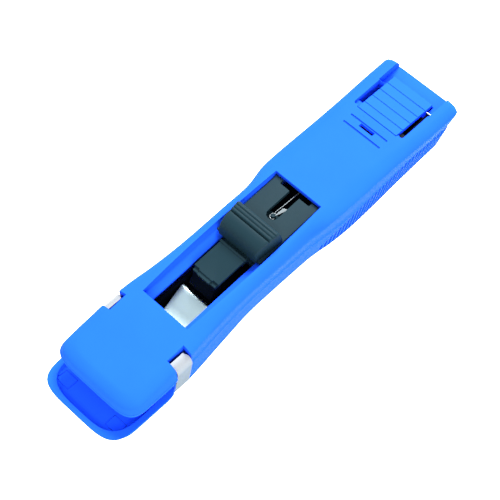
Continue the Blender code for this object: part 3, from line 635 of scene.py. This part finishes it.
def seam_x(y):
    """Half width of the upper shell at the seam."""
    nose = 19.4 - 0.0004 * (y - NOSE_CENTRE_Y) ** 2
    return nose + (wall_x(y, SEAM_Z) - nose) * ease((y + 60.0) / 9.0)


def lip(y):
    """How much of the nose's edge lip there is at y."""
    return 1 - ease((y + 59.0) / 5.0)


def between(y, start, end, share):
    """A place between two columns of the body's outline."""
    return section(y, start) + (section(y, end) - section(y, start)) * share


def upper_rings():
    """Rings of the upper shell's outside, from the seam to the middle of the top."""
    stations = spread(NOSE_CENTRE_Y, RIB_START - 0.27, 1.504) + rib_stations(REAR_CENTRE_Y)
    rings = []

    def ring(width, height, inset, rear_inset):
        def grooved(y):
            return width(y) - rib_depth(y, height(y))

        front = (NOSE_LENGTH - inset, NOSE_POWER, 28)
        rear = (REAR_LENGTH - rear_inset, REAR_POWER, 10)
        rings.append(loop(grooved, height, stations, front, rear))

    def above_lip(y):
        return seam_x(y) - LIP_DEPTH * lip(y)

    # Rounded edge at the seam, and the lip
    ring(lambda y: seam_x(y) - 0.35, lambda y: SEAM_Z, 0.35, 0.2)
    ring(lambda y: seam_x(y) - 0.1, lambda y: SEAM_Z + 0.06, 0.1, 0.04)
    ring(seam_x, lambda y: SEAM_Z + 0.35, 0.0, 0.0)
    ring(seam_x, lambda y: SEAM_Z + 1.0, 0.0, 0.0)
    ring(lambda y: seam_x(y) - 0.06 * lip(y), lambda y: SEAM_Z + 1.2, 0.06, 0.0)
    ring(above_lip, lambda y: SEAM_Z + LIP_HEIGHT, LIP_DEPTH, -0.05)

    # Drafted side
    for share in (0.3, 0.65, 0.93):
        rise = LIP_HEIGHT * (1 - share)
        ring(
            lambda y, s=share: above_lip(y) * (1 - s) + section(y, SHOULDER_X) * s,
            lambda y, s=share, r=rise: SEAM_Z + r + (section(y, SHOULDER_Z) - SEAM_Z) * s,
            LIP_DEPTH + 0.5 * share,
            -REAR_LEAN * share,
        )

    # Rounded shoulder
    for degrees in (8, 22, 36, 50, 64, 78, 90):
        out = math.cos(math.radians(degrees)) ** 1.15
        up = 0.8 * math.sin(math.radians(degrees)) ** 1.1 + 0.2 * (1 - out)
        ring(
            lambda y, c=out: between(y, FLAT_X, SHOULDER_X, c),
            lambda y, s=up: between(y, SHOULDER_Z, TOP_Z, s),
            EDGE_NOSE + (TOP_NOSE - EDGE_NOSE) * (1 - out),
            TOP_REAR * (1 - out) - REAR_LEAN,
        )

    # Top, with a slight crown
    for share in (0.9, 0.62, 0.3):
        crown = 0.12 * (1 - share)
        ring(
            lambda y, s=share: section(y, FLAT_X) * s,
            lambda y, k=crown: section(y, TOP_Z) + k,
            NOSE_LENGTH - (NOSE_LENGTH - TOP_NOSE) * share,
            REAR_LENGTH - (REAR_LENGTH - TOP_REAR + REAR_LEAN) * share,
        )
    return rings


def band_section(thickness=0.0):
    """Outer line of the steel band, from the left tip under the body to the right tip.

    With a thickness, the line is moved in by it.
    """
    right = [
        (0.0, 0.12), (7.0, 0.12), (13.6, 0.12), (14.7, 0.25), (15.55, 0.7), (16.1, 1.7),
        (16.7, 5.0), (17.3, 9.0), (17.9, 13.0), (18.35, 16.0), (18.6, 17.8), (18.55, 18.6),
        (18.25, 19.4), (17.7, 20.2), (16.9, 20.9), (16.0, 21.4), (15.1, 21.75),
    ]
    line = [(-x, z) for x, z in reversed(right[1:])] + right
    if not thickness:
        return line
    moved = []
    for i, (x, z) in enumerate(line):
        before, after = line[max(i - 1, 0)], line[min(i + 1, len(line) - 1)]
        along = Vector((after[0] - before[0], after[1] - before[1])).normalized()
        moved.append((x - along.y * thickness, z + along.x * thickness))
    return moved


def band_seat():
    """Everything outside the band's seat: its sides and bottom, then the notches of its tips."""
    far, above, below = 25.0, 30.0, -3.0
    inner = [(x, z) for x, z in band_section(SEAT_DEPTH) if z < NOTCH_FLOOR - 0.1]
    outline = [(-NOTCH_WALL, above), (-NOTCH_WALL, NOTCH_FLOOR), (-16.4, NOTCH_FLOOR)]
    outline += inner
    outline += [(16.4, NOTCH_FLOOR), (NOTCH_WALL, NOTCH_FLOOR), (NOTCH_WALL, above)]
    outline += [(far, above), (far, below), (-far, below), (-far, above)]
    return prism("band_seat", outline, NOTCH_FRONT, NOTCH_REAR, "y")


def nose_hollow():
    """Hollow of the nose, open below, and narrow between the band's notches."""
    wall, roof, low = 2.0, 1.5, 13.0
    neck_front, neck_rear, neck = -59.0, -46.0, 11.6
    sections = []
    for y in (-77.4, -74.5, -71.0, -67.0, -63.0, -59.3, -58.9, -52.0, -46.1, -45.8, -43.2):
        half = (seam_x(y) - wall) * (0.82 + 0.18 * ease((y + 79.6) / 5.0))
        if neck_front < y < neck_rear:
            half = neck
        top = section(y, TOP_Z) - roof
        flat = min(half - 4.5, 9.5)
        sections.append((y, mirrored([(half, low), (half - 0.6, top - 2.6), (flat, top)])))
    return loft_y("nose_hollow", sections)


def ledge_hollow():
    """Hollow under the window's ledges."""
    wall, drop, low, end = 2.6, 5.4, 12.0, 19.0
    sections = []
    for y in spread(-44.6, end, 4.0) + [22.6]:
        inner = min(y, end)
        top = rim_z(inner) - drop
        half = [(wall_x(inner, low) - wall, low), (wall_x(inner, top) - wall, top)]
        sections.append((y, mirrored(half)))
    return loft_y("ledge_hollow", sections)


def rear_hollow():
    """Hollow under the rear cover, lower where the loading flap turns."""
    wall, roof, low = 1.7, 1.8, 13.0
    sections = []
    for y in spread(21.0, 85.6, 3.4):
        high = section(y, SHOULDER_X) - roof
        top = section(y, TOP_Z) - roof - 2.7 * ease((y - 72.0) / 4.0)
        half = [(wall_x(y, 14.0) - wall, low), (high, min(23.4, top - 0.3)), (high - 3.6, top)]
        sections.append((y, mirrored(half)))
    return loft_y("rear_hollow", sections)


def window_cutters():
    """The window, with a sloping ledge down each side, and the finger's way into the nose."""
    window = []
    for y in spread(WINDOW_FRONT, WINDOW_REAR, 3.3):
        plane = rim_z(y)
        middle = math.sin(math.pi * (y - WINDOW_FRONT) / (WINDOW_REAR - WINDOW_FRONT))
        edge = 10.95 + 0.75 * middle
        half = [
            (7.9, plane - 9.5), (7.9, plane - 4.75), (8.15, plane - 4.35),
            (10.45, plane - 3.05), (10.75, plane - 2.6), (edge - 0.12, plane - 0.5),
            (edge, plane + 0.3), (edge + 0.6, plane + 6.0),
        ]
        window.append((y, mirrored(half)))
    relief = []
    for y in (-60.0, WINDOW_FRONT + 0.5):
        plane = rim_z(y) - 1.6
        relief.append((y, mirrored([(6.6, plane - 6.0), (6.6, plane)])))
    return [loft_y("window", window), loft_y("finger_relief", relief)]


def cover_cutters():
    """The loading flap's opening, the rear step, the sight hole and two grooves."""
    above = 32.0
    front = [(9.3, 62.45), (9.45, 62.6), (9.8, 63.4)]
    turns = [math.radians(degrees) for degrees in range(-50, 91, 20)]
    front += [(10.85 + 0.95 * math.sin(a), 64.1 - 0.95 * math.cos(a)) for a in turns]
    front += [(11.8, 77.0)]
    right = front + [(12.0, 77.2), (12.0, 79.9), (9.5, 79.9), (9.5, 83.4)]
    left = [(-x, y) for x, y in front] + [(-12.0, 77.2), (-9.5, 77.2), (-9.5, 83.4)]
    cutters = [
        prism("flap_opening", right + left[::-1], 20.0, above),
        prism("rear_step", rounded_rect(-12.2, 77.26, 12.2, 95.0, 0.5), 25.0, above),
        prism("sight_hole", rounded_rect(-3.3, 56.5, 3.3, 58.3, 0.25), 20.0, above),
    ]
    for number, y in enumerate((54.5, 58.55)):
        groove = rounded_rect(-8.8, y - 0.4, 8.8, y + 0.4, 0.38)
        cutters.append(prism(f"groove_{number}", groove, 27.78, above))
    return cutters


def upper_lugs():
    """Posts of the ramp, lugs of the spring, lug and skirts of the flap, arms of the hinge."""
    lugs = []
    for side in (-1, 1):
        lugs.append(beside(f"ramp_post{side}", side, 10.5, 13.5, (-66.0, 13.9), (-62.0, 20.5)))
        lugs.append(beside(f"anchor_lug{side}", side, 2.6, 4.2, (50.6, 22.6), (53.4, 27.0)))
        if side < 0:
            lugs.append(beside("flap_lug", side, 9.6, 13.4, (62.9, 24.6), (65.9, 26.7)))
        lugs.append(beside(f"slot_skirt{side}", side, 12.0, 13.4, (62.4, 20.5), (83.9, 25.6)))
        arm = [(8.3, 2.4), (9.7, 2.4), (9.7, 15.6), (15.0, 15.6), (15.0, 17.2), (8.3, 17.2)]
        arm = [(side * x, z) for x, z in arm]
        lugs.append(prism(f"hinge_arm{side}", arm, 78.2, 82.8, "y"))
    return lugs


def build_upper_shell():
    shell = skin("upper_shell_skin", upper_rings())
    boolean(shell, [nose_hollow(), ledge_hollow(), rear_hollow()])
    boolean(shell, window_cutters() + [band_seat()] + cover_cutters())
    boolean(shell, upper_lugs(), "UNION")
    finish_piece(shell, "body_blue", "upper", "upper_shell")


# ---------------- lower shell

JAW_CENTRE_Y = -70.0
JAW_LENGTH = 17.6
JAW_POWER = 4.6
JAW_UNDERCUT = 3.7  # how much shorter the jaw is at its underside
JAW_BASE_X = 16.4
JAW_RIM_X = 19.2
JAW_RIM = 8.0
MOUTH_BACK = -57.0

# Gap at the seam, and how the lower shell's edge falls away from there on behind the hinge
SEAM_GAP = 0.08
FALL_START = 79.0
FALL_SLOPE = 0.014


def lower_top(y):
    """Top edge; it falls away at the rear so that the upper shell can tip."""
    if y < MOUTH_BACK:
        return JAW_RIM
    return SEAM_Z - SEAM_GAP - FALL_SLOPE * max(y - FALL_START, 0.0)


def lower_base_z(y):
    """The underside rises towards the front of the jaw."""
    share = min(max((-y - 76.0) / 11.5, 0.0), 1.0)
    return 5.2 * share**2.2


def lower_x(y, z):
    """Half width of the lower shell at y and z, before the grip grooves."""
    jaw = JAW_BASE_X + (JAW_RIM_X - JAW_BASE_X) * min(z, JAW_RIM) / JAW_RIM
    rear = wall_x(y, z)
    share = ease((y + 60.5) / 5.0)
    return jaw + (rear - jaw) * share


def lower_rings():
    """Rings of the lower shell's outside, from the middle of the underside to the top edge."""
    stations = spread(JAW_CENTRE_Y, MOUTH_BACK - 0.01, 1.3) + spread(MOUTH_BACK, RIB_START, 1.6)
    stations += rib_stations(REAR_CENTRE_Y)
    rings = []

    def ring(share, inset, lift=0.0):
        """A ring at a share of the local height."""

        def height(y):
            base = lower_base_z(y)
            return base + (lower_top(y) - base) * share + lift

        def width(y):
            z = height(y)
            return lower_x(y, z) - inset - rib_depth(y, z)

        front_length = JAW_LENGTH - (1 - share) * JAW_UNDERCUT - inset
        rear_length = REAR_LENGTH - inset - 0.45 * (1 - share)
        front = (front_length, JAW_POWER, 34)
        rings.append(loop(width, height, stations, front, (rear_length, 5.0, 10)))

    for inset, lift in ((6.0, 0.0), (1.4, 0.0), (0.75, 0.06), (0.32, 0.26), (0.08, 0.62)):
        ring(0.0, inset, lift)
    for share in (0.085, 0.11, 0.15, 0.2, 0.3, 0.42, 0.54, 0.66, 0.76, 0.84, 0.9, 0.95):
        ring(share, 0.0)
    for share, inset in ((0.98, 0.08), (0.996, 0.25), (1.0, 0.5)):
        ring(share, inset)
    return rings


def body_hollow():
    """Hollow of the lower shell behind the band."""
    wall, low, high, end = 2.3, 1.8, 16.0, 84.0
    sections = []
    for y in [-53.0] + spread(-50.0, end, 6.7) + [85.7]:
        inner = min(y, end)
        half = [(wall_x(inner, low) - wall, low), (wall_x(inner, high) - wall, high)]
        sections.append((y, mirrored(half)))
    return loft_y("body_hollow", sections)


def jaw_tray():
    """Recess of the lower jaw: it widens upwards, and its tail opens into the body."""
    width, length = 16.7, 15.1
    rings = []
    for z, grow in ((5.9, -0.9), (6.1, -0.35), (6.5, 0.0), (9.0, 0.5), (16.0, 0.9)):
        wider, longer = 1 + grow / width, 1 + grow / length
        half = [(x * wider, JAW_CENTRE_Y - y * longer) for x, y in corner(width, length, 3.6, 22)]
        half += [(min(half[-1][0], 16.5), -56.5), (13.8, -56.3), (13.8, -52.0)]
        points = [(x, y, z) for x, y in half]
        rings.append(points + [(-x, y, z) for x, y, z in reversed(points[1:])])
    return tube("jaw_tray", rings)


def pocket(side):
    """The line round one of the two shallow pockets near the front of the recess."""
    line = 0.28
    x0, x1 = sorted((side * 9.2, side * 15.2))
    y0, y1 = -82.2, -77.2
    cutter = prism(f"pocket{side}", rounded_rect(x0, y0, x1, y1, 0.4), 5.72, 7.4)
    inner = rounded_rect(x0 + line, y0 + line, x1 - line, y1 - line, 0.3)
    boolean(cutter, [prism("inner", inner, 5.0, 8.0)])
    return cutter


def build_lower_shell():
    shell = skin("lower_shell_skin", lower_rings())
    tools = [body_hollow(), jaw_tray(), pocket(-1), pocket(1), band_seat()]
    for number, y in enumerate((-40.0, 60.0)):
        tools.append(prism(f"screw_hole{number}", disc(1.2, (0.0, y)), -1.0, 3.0))
        tools.append(prism(f"screw_head{number}", disc(2.45, (0.0, y)), -1.0, 0.92))
    tools.append(block("inlet", (-7.9, 84.0, 8.5), (7.9, 90.0, 17.0)))
    reach = PIN_END + 0.03
    tools.append(prism("hinge_bore", disc(1.3, (PIN_Y, PIN_Z)), -reach, reach, "x"))
    boolean(shell, tools)
    posts = []
    for side in (-1, 1):
        posts.append(beside(f"lower_post{side}", side, 10.5, 13.5, (-66.0, 5.4), (-62.0, 9.55)))
    boolean(shell, posts, "UNION")
    finish_piece(shell, "body_blue", "lower", "lower_shell")


# ---------------- steel band


def build_band():
    """Spring-steel band, its upper rear corners rounded away."""
    sheet, rounding = 0.55, 2.4
    line = band_section()
    reach = [0.0]
    for a, b in zip(line, line[1:]):
        reach.append(reach[-1] + math.hypot(b[0] - a[0], b[1] - a[1]))
    total = reach[-1]
    front = BAND_LOW.y + 0.7
    rows = []
    for s in spread(0.0, total, 0.6):
        i = max(n for n in range(len(reach) - 1) if reach[n] <= s + 1e-9)
        t = (s - reach[i]) / (reach[i + 1] - reach[i])
        x = line[i][0] + (line[i + 1][0] - line[i][0]) * t
        z = line[i][1] + (line[i + 1][1] - line[i][1]) * t
        tip = min(s, total - s)
        rear = BAND_HIGH.y
        if tip < rounding:
            rear -= rounding - math.sqrt(rounding**2 - (rounding - max(tip, 0.5)) ** 2)
        rows.append([(x, front + (rear - front) * k / 6, z) for k in range(7)])
    band = plate("nose_band_sheet", rows, -sheet)
    bends = ("upper", (0.0, -53.0, 4.0), (0.0, -53.0, 18.0))
    finish_piece(band, "band_steel", "lower", "nose_band", angle=40.0, bends=bends)


# ---------------- slider


# The screw and the spring's post, along the window's plane
SCREW_Y = -6.6
POST_Y = 8.9


def hump_ridge():
    """Middle line of the hump as (y, height), from its rear over the top to its front."""
    grooves = ((0.45, 0.28, 0.34), (-1.0, 0.28, 0.34), (-2.6, 0.75, 0.5))  # place, depth, width
    ridge = [(3.3, -2.2), (3.1, 1.0), (2.7, 3.2), (2.2, 4.5), (1.7, 5.0), (1.2, 5.17)]
    for y in spread(-3.5, 0.9, 0.16)[::-1]:
        height = 5.2 - 0.012 * (y - 0.5) ** 2
        for place, depth, width in grooves:
            height -= depth * math.exp(-(((y - place) / width) ** 2) * 2.2)
        ridge.append((y, height))
    ridge += [(-4.2, 4.98), (-5.2, 4.75), (-6.2, 4.4), (-7.1, 3.95), (-7.9, 3.35), (-8.5, 2.6)]
    return ridge + [(-8.85, 1.8), (-9.0, 1.0), (-9.1, 0.0), (-9.2, -1.0), (-9.25, -2.2)]


def hump():
    """The thumb's hump: narrower at the front, soft along both sides, flat below."""
    foot, bottom = -2.3, -2.5
    rows = []
    for y, height in hump_ridge():
        half = min(9.95 + (y - 1.5) * 0.1, 10.0)
        soft = [(-half, -0.75), (-half + 0.12, -0.3), (-half + 0.45, -0.06), (-half + 0.9, 0.0)]
        across = soft + [(x * half / 10, 0.0) for x in (-6, -3, 0, 3, 6)]
        across += [(-x, drop) for x, drop in reversed(soft)]
        rows.append([(x, y, max(height + drop, foot)) for x, drop in across])
    count = len(rows[0])
    base = len(rows) * count
    points = [point for row in rows for point in row]
    for row in rows:
        points += [(row[0][0], row[0][1], bottom), (row[-1][0], row[-1][1], bottom)]
    faces = []
    for r in range(len(rows) - 1):
        for a in range(r * count, r * count + count - 1):
            faces.append((a, a + 1, a + count + 1, a + count))
        left, right = base + 2 * r, base + 2 * r + 1
        faces.append((r * count, (r + 1) * count, left + 2, left))
        faces.append((r * count + count - 1, right, right + 2, (r + 2) * count - 1))
        faces.append((left, left + 2, right + 2, right))
    last = (len(rows) - 1) * count
    end = base + 2 * (len(rows) - 1)
    faces.append(tuple(range(count)) + (base + 1, base))
    faces.append(tuple(range(last, last + count)) + (end + 1, end))
    return mesh_object("hump", points, faces)


def build_slider():
    half = [(9.5, -2.9), (10.4, -2.6), (10.45, -1.95), (10.1, -1.6), (9.0, -1.55)]
    slider = loft_y("thumb_slider_body", [(y, mirrored(half)) for y in spread(-8.6, 21.3, 3.0)])
    boolean(slider, [hump()], "UNION")
    turns = [math.pi * i / 16 for i in range(17)]
    slot = [(2.35 * math.cos(a), 8.6 - 2.1 * math.sin(a)) for a in turns]
    slot = [(2.35, 21.0)] + slot + [(-2.35, 21.0)]
    boolean(slider, [
        prism("slot", slot, -6.0, 0.5),
        prism("cross_recess", rounded_rect(-7.0, 19.6, 7.0, 30.0, 0.3), -6.0, 0.5),
        prism("bore", disc(1.1, (0.0, SCREW_Y), 28), -6.0, 1.6),
    ])
    on_track(slider)
    finish_piece(slider, "slider_black", "slider", "thumb_slider", angle=38.0)


def build_finger():
    """Pushing finger: stepped tongue, its neck, and the foot that meets the clip."""
    rounding = 0.14
    tongue = [
        (-5.9, -24.1), (-3.3, -24.1), (-3.3, -24.6), (3.3, -24.6), (3.3, -24.1), (5.9, -24.1),
        (5.9, -10.8), (-5.9, -10.8),
    ]
    finger = prism("push_finger_body", tongue, -2.9, -1.7)
    boolean(finger, [
        prism("step", rounded_rect(-2.9, -26.0, 2.9, -20.0, 0.3), -3.1, -2.15),
        prism("lower_step", rounded_rect(-5.4, -25.6, 5.4, -13.0, 0.3), -4.1, -2.6),
        prism("lip", rounded_rect(-6.1, -11.6, 6.1, -10.7, 0.2), -2.2, -1.35),
        block("neck", (-5.6, -12.4, -4.4), (5.6, -10.9, -2.0)),
        block("tail", (-5.6, -12.4, -4.4), (5.6, -4.0, -3.2)),
    ], "UNION")
    boolean(finger, [prism("bore", disc(1.2, (0.0, SCREW_Y), 24), -8.0, 0.0)])
    bevel(finger, rounding, 2, 50.0)
    on_track(finger)
    finish_piece(finger, "slider_black", "slider", "push_finger")
    outline = [
        (-22.6, -3.2), (-22.9, -9.0), (-24.6, -14.6), (-26.7, -14.6), (-27.4, -13.2),
        (-28.0, -9.0), (-27.9, -8.2), (-27.3, -7.2), (-26.3, -6.3), (-25.9, -5.2), (-25.6, -3.2),
    ]
    foot = prism("finger_foot", outline, -5.3, 5.3, "x")
    bevel(foot, rounding, 2, 50.0)
    on_track(foot)
    # The foot takes the darker black as painted shade, for the shadow it sits in
    finish_piece(foot, "tray_black", "slider")


def build_carriage():
    keel = [(6.8, -3.2), (6.8, -5.5), (9.4, -5.75), (9.4, -7.0)]
    carriage = loft_y("slider_carriage_body", [(y, mirrored(keel)) for y in (-9.6, 0.0, 10.6)])
    boolean(carriage, [
        block("seat", (-12.0, -12.0, -4.95), (12.0, -3.6, 0.0)),
        block("hook_seat", (-3.2, 5.4, -4.6), (3.2, 14.0, 0.0)),
        prism("bore", disc(1.2, (0.0, SCREW_Y), 24), -8.0, 0.0),
        prism("post_bore", disc(0.8, (0.0, POST_Y), 24), -6.4, 0.0),
    ])
    bevel(carriage, 0.15)
    on_track(carriage)
    finish_piece(carriage, "slider_black", "slider", "slider_carriage")


def build_post():
    """Post of the return spring, and the small pointed clip that keeps the hook on it."""
    post = prism("spring_post_pin", disc(0.7, (0.0, POST_Y), 28), -6.2, -2.7)
    outline = [(0.45, 9.4), (0.75, 9.2), (2.1, 13.6), (2.05, 14.1), (0.55, 13.2)]
    clip = prism("pointed_clip", outline, -2.9, -2.5)
    middle = Matrix.Translation(Vector((1.3, 11.5, -2.7)) * MM)
    clip.data.transform(middle @ Matrix.Rotation(math.radians(18), 4, "Y") @ middle.inverted())
    on_track(post)
    finish_piece(post, "slider_black", "slider", "spring_post")
    on_track(clip)
    finish_piece(clip, "spring_steel", "slider")


def build_return_spring():
    """Wire from a hook round the post, through the coil, to a loop round the rear pin."""
    path = []
    hook, level = 1.2, -3.3
    for step in range(25):
        angle = math.radians(-30 - step * 10)
        path.append((hook * math.cos(angle), POST_Y + hook * math.sin(angle), level))
    path += [(-0.75, POST_Y + 1.9, level), (-0.45, POST_Y + 4.0, level)]
    path += [(-0.1, 20.5, level - 0.1)]
    coil_y, radius, turns, pitch, centre, fine = 27.0, 1.6, 13, 1.25, -5.2, 20
    path += [(0.0, coil_y - 2.2, centre + radius)]
    for step in range(turns * fine + 1):
        angle = 2 * math.pi * step / fine
        y = coil_y + pitch * step / fine
        path.append((radius * math.sin(angle), y, centre + radius * math.cos(angle)))
    loop_y, loop_z, bend = 51.9, -5.69, 1.5
    path += [(0.0, loop_y - 3.2, loop_z + 1.6)]
    for step in range(23):
        angle = math.radians(110 - step * 12)
        path.append((0.0, loop_y + bend * math.cos(angle), loop_z + bend * math.sin(angle)))
    spring = wire("return_spring_wire", path, 0.16, 12)
    on_track(spring)
    bends = ("upper", (0.0, 22.0, 22.0), (0.0, 50.0, 24.0))
    finish_piece(spring, "spring_steel", "slider", "return_spring", angle=60.0, bends=bends)


# ---------------- clips


def build_clip(name, node, body):
    """Bent sheet clip: rounded spine, two flat wings that narrow, flared lips."""
    sheet, round_spine, length = 0.4, 0.9, 13.9
    low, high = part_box(node)
    spine_y, mid_z = high.y / MM, (low.z + high.z) / 2 / MM
    half_height = (high.z - low.z) / 2 / MM
    centre = half_height - round_spine
    wing = [
        (-length, 1.75), (-13.0, 1.3), (-12.2, 0.95), (-11.6, 0.8), (-11.0, 0.8), (-8.0, 1.42),
        (-5.0, 2.02), (-2.4, 2.52), (-1.3, half_height - 0.02),
    ]
    for degrees in range(0, 91, 15):
        angle = math.radians(degrees)
        wing.append((-round_spine + round_spine * math.sin(angle),
                     centre + round_spine * math.cos(angle)))
    rows = []
    for y, z in wing + [(y, -z) for y, z in reversed(wing)]:
        half = 7.2 - 2.2 * min(max(-y / length, 0.0), 1.0)
        if y < -13.2:
            half -= 0.5
        rows.append([(half * k / 6, spine_y + y, mid_z + z) for k in range(-6, 7)])
    clip = plate(name, rows, sheet)
    finish_piece(clip, "clip_steel", body, node, angle=45.0)


# ---------------- rear flap


FLAP_PIN_Y, FLAP_PIN_Z = 64.3, 25.9


def flap_top(y):
    """The flap's top falls a little towards the rear."""
    return 27.97 - 0.75 * (y - 62.6) / 20.2


def build_flap():
    """Loading flap: ribbed tongue level with the cover, barrel, gate leg and catch."""
    half = 9.2
    profile = [(FLAP_LOW.y, 27.0)] + [(y, flap_top(y)) for y in spread(62.95, 82.7, 0.25)]
    profile += [(FLAP_HIGH.y, 26.6), (FLAP_HIGH.y, 25.95), (80.2, 25.8), (66.5, 26.2)]
    for degrees in range(-10, 191, 20):
        angle = math.radians(degrees)
        profile.append((FLAP_PIN_Y + 1.45 * math.cos(angle), FLAP_PIN_Z - 1.4 * math.sin(angle)))
    flap = prism("loading_flap_body", profile, -half, half, "x")
    leg = [(79.2, 26.2), (79.2, 15.6), (78.9, 12.8), (79.7, 12.4), (80.6, 15.0), (80.6, 26.2)]
    catch = [(7.4, 26.2), (9.0, 26.2), (9.0, 24.6), (10.8, 24.6), (10.8, 23.9), (7.4, 23.9)]
    added = [prism("leg", leg, -5.8, 5.8, "x"), prism("catch", catch, 77.6, 79.6, "y")]
    boolean(flap, added, "UNION")
    tools = []
    for number, y in enumerate((66.3, 70.5, 74.6, 78.7)):
        z = flap_top(y)
        tools.append(block(f"rib{number}", (-12.0, y - 0.28, z - 0.22), (12.0, y + 0.28, z + 3.0)))
    tools.append(prism("barrel_bore", disc(0.8, (FLAP_PIN_Y, FLAP_PIN_Z), 28), -12.0, 12.0, "x"))
    boolean(flap, tools)
    finish_piece(flap, "body_blue", "flap", "loading_flap")


def build_spring_guide():
    """Black strip on the right, under the leaf that holds the flap shut, and a block before it;
    both are black as painted shade, so the right slot reads dark.
    """
    guide = prism("spring_guide", rounded_rect(6.4, 63.2, 12.1, 82.6, 0.6), 21.0, 22.2)
    bevel(guide, 0.12)
    finish_piece(guide, "tray_black", "upper")
    # The lug is black, not blue, as painted shade in the slot
    lug = block("slot_lug", (9.5, 62.3, 24.6), (13.0, 65.9, 26.7))
    bevel(lug, 0.12)
    finish_piece(lug, "tray_black", "upper")


def build_flap_spring():
    """Steel leaf that holds the flap shut, coloured black as painted shade for the dark right
    slot, and the steel tip that bears on it.
    """
    line = [(61.0, 24.1), (66.5, 24.1), (70.0, 24.4), (74.0, 24.75), (77.0, 25.0), (79.3, 25.3)]
    rows = [[(x, y, z) for x in (9.7, 10.1, 10.5, 10.9)] for y, z in line]
    leaf = plate("flap_spring_leaf", rows, -0.28)
    bends = ("flap", (10.3, 66.0, 24.3), (10.3, 79.0, 25.4))
    outline = [(78.9, 25.1), (79.5, 25.1), (79.4, 26.5), (79.1, 26.5)]
    tip = prism("flap_spring_tip", outline, 9.6, 11.5, "x")
    finish_piece(tip, "spring_steel", "upper", bends=bends)
    # The leaf takes the black finish as painted shade in the slot
    finish_piece(leaf, "tray_black", "upper", "flap_spring", angle=40.0, bends=bends)


# ---------------- camera, light, floor


# Camera, in metres and degrees; the shifts move the aim off the target, across and up the view
AZIMUTH = 44.35
ELEVATION = 58.56
ROLL = 0.10
DISTANCE = 0.5905
TARGET = (0.0, 0.0, 0.015)
SHIFT_RIGHT = -0.00182
SHIFT_UP = -0.00155
LENS = 120.26


def add_camera():
    azimuth, elevation, roll = [math.radians(angle) for angle in (AZIMUTH, ELEVATION, ROLL)]
    level = math.cos(elevation)
    back = Vector((math.sin(azimuth) * level, -math.cos(azimuth) * level, math.sin(elevation)))
    right = Vector((math.cos(azimuth), math.sin(azimuth), 0.0))
    up = back.cross(right)
    place = Vector(TARGET) + back * DISTANCE + right * SHIFT_RIGHT + up * SHIFT_UP
    turned_right = right * math.cos(roll) + up * math.sin(roll)
    turned_up = up * math.cos(roll) - right * math.sin(roll)
    data = bpy.data.cameras.new("camera")
    data.lens = LENS
    data.sensor_width = 36.0
    data.clip_start = 0.01
    data.clip_end = 20.0
    camera = bpy.data.objects.new("camera", data)
    bpy.context.scene.collection.objects.link(camera)
    rows = Matrix((turned_right, turned_up, back)).transposed().to_4x4()
    camera.matrix_world = Matrix.Translation(place) @ rows
    bpy.context.scene.camera = camera


def add_light(name, place, aim, size, energy):
    """A square soft light that faces a point."""
    data = bpy.data.lights.new(name, "AREA")
    data.shape = "SQUARE"
    data.size = size
    data.energy = energy
    light = bpy.data.objects.new(name, data)
    bpy.context.scene.collection.objects.link(light)
    light.location = place
    light.rotation_euler = (Vector(place) - Vector(aim)).to_track_quat("Z", "Y").to_euler()


def add_studio():
    scene = bpy.context.scene
    world = bpy.data.worlds.new("studio")
    scene.world = world
    world.use_nodes = True
    background = world.node_tree.nodes["Background"]
    background.inputs["Color"].default_value = (0.93, 0.96, 1.0, 1.0)
    background.inputs["Strength"].default_value = 1.3
    add_light("key", (-0.7, 1.5, 1.9), (0.0, 0.0, 0.0), 1.1, 182.0)
    add_light("fill", (0.85, -0.55, 0.5), (0.0, 0.0, 0.01), 0.6, 11.0)
    reach = 4
    corners = [(-reach, -reach, 0), (reach, -reach, 0), (reach, reach, 0), (-reach, reach, 0)]
    floor = mesh_object("floor", corners, [(0, 1, 2, 3)], 1.0)
    floor.location.z = -0.0002
    material, tree, shader = nodes_of("paper")
    patches = ranged(tree, noise(tree, 40.0), 0.0, 1.0)
    grey = mixed(tree, patches, (0.29, 0.29, 0.29), (0.31, 0.31, 0.31))
    tree.links.new(grey, shader.inputs["Base Color"])
    shader.inputs["Roughness"].default_value = 0.9
    shader.inputs["Specular IOR Level"].default_value = 0.1
    shader.inputs["Emission Color"].default_value = (1.0, 1.0, 1.0, 1.0)
    shader.inputs["Emission Strength"].default_value = 2.3
    floor.data.materials.append(material)
    scene.view_settings.view_transform = "Standard"
    scene.view_settings.look = "None"


def dress_cad_nodes():
    """Finishes of the nodes that show as they come."""
    slots = {row["node"]: row["material_slot"] for row in frame["record"]["subparts"]}
    for name, node in frame["nodes"].items():
        if node.hide_render:
            continue
        node.data.materials.clear()
        node.data.materials.append(SLOTS[slots[name]])


build_upper_shell()
build_lower_shell()
build_band()
build_slider()
build_finger()
build_carriage()
build_post()
build_return_spring()
build_clip("clip_front_sheet", "clip_front", "front_clip")
for number in range(1, 7):
    build_clip(f"clip_queue_sheet_{number}", f"clip_queue_{number}", "clip_queue")
build_flap()
build_spring_guide()
build_flap_spring()
dress_cad_nodes()
add_camera()
add_studio()

bpy.context.view_layer.update()
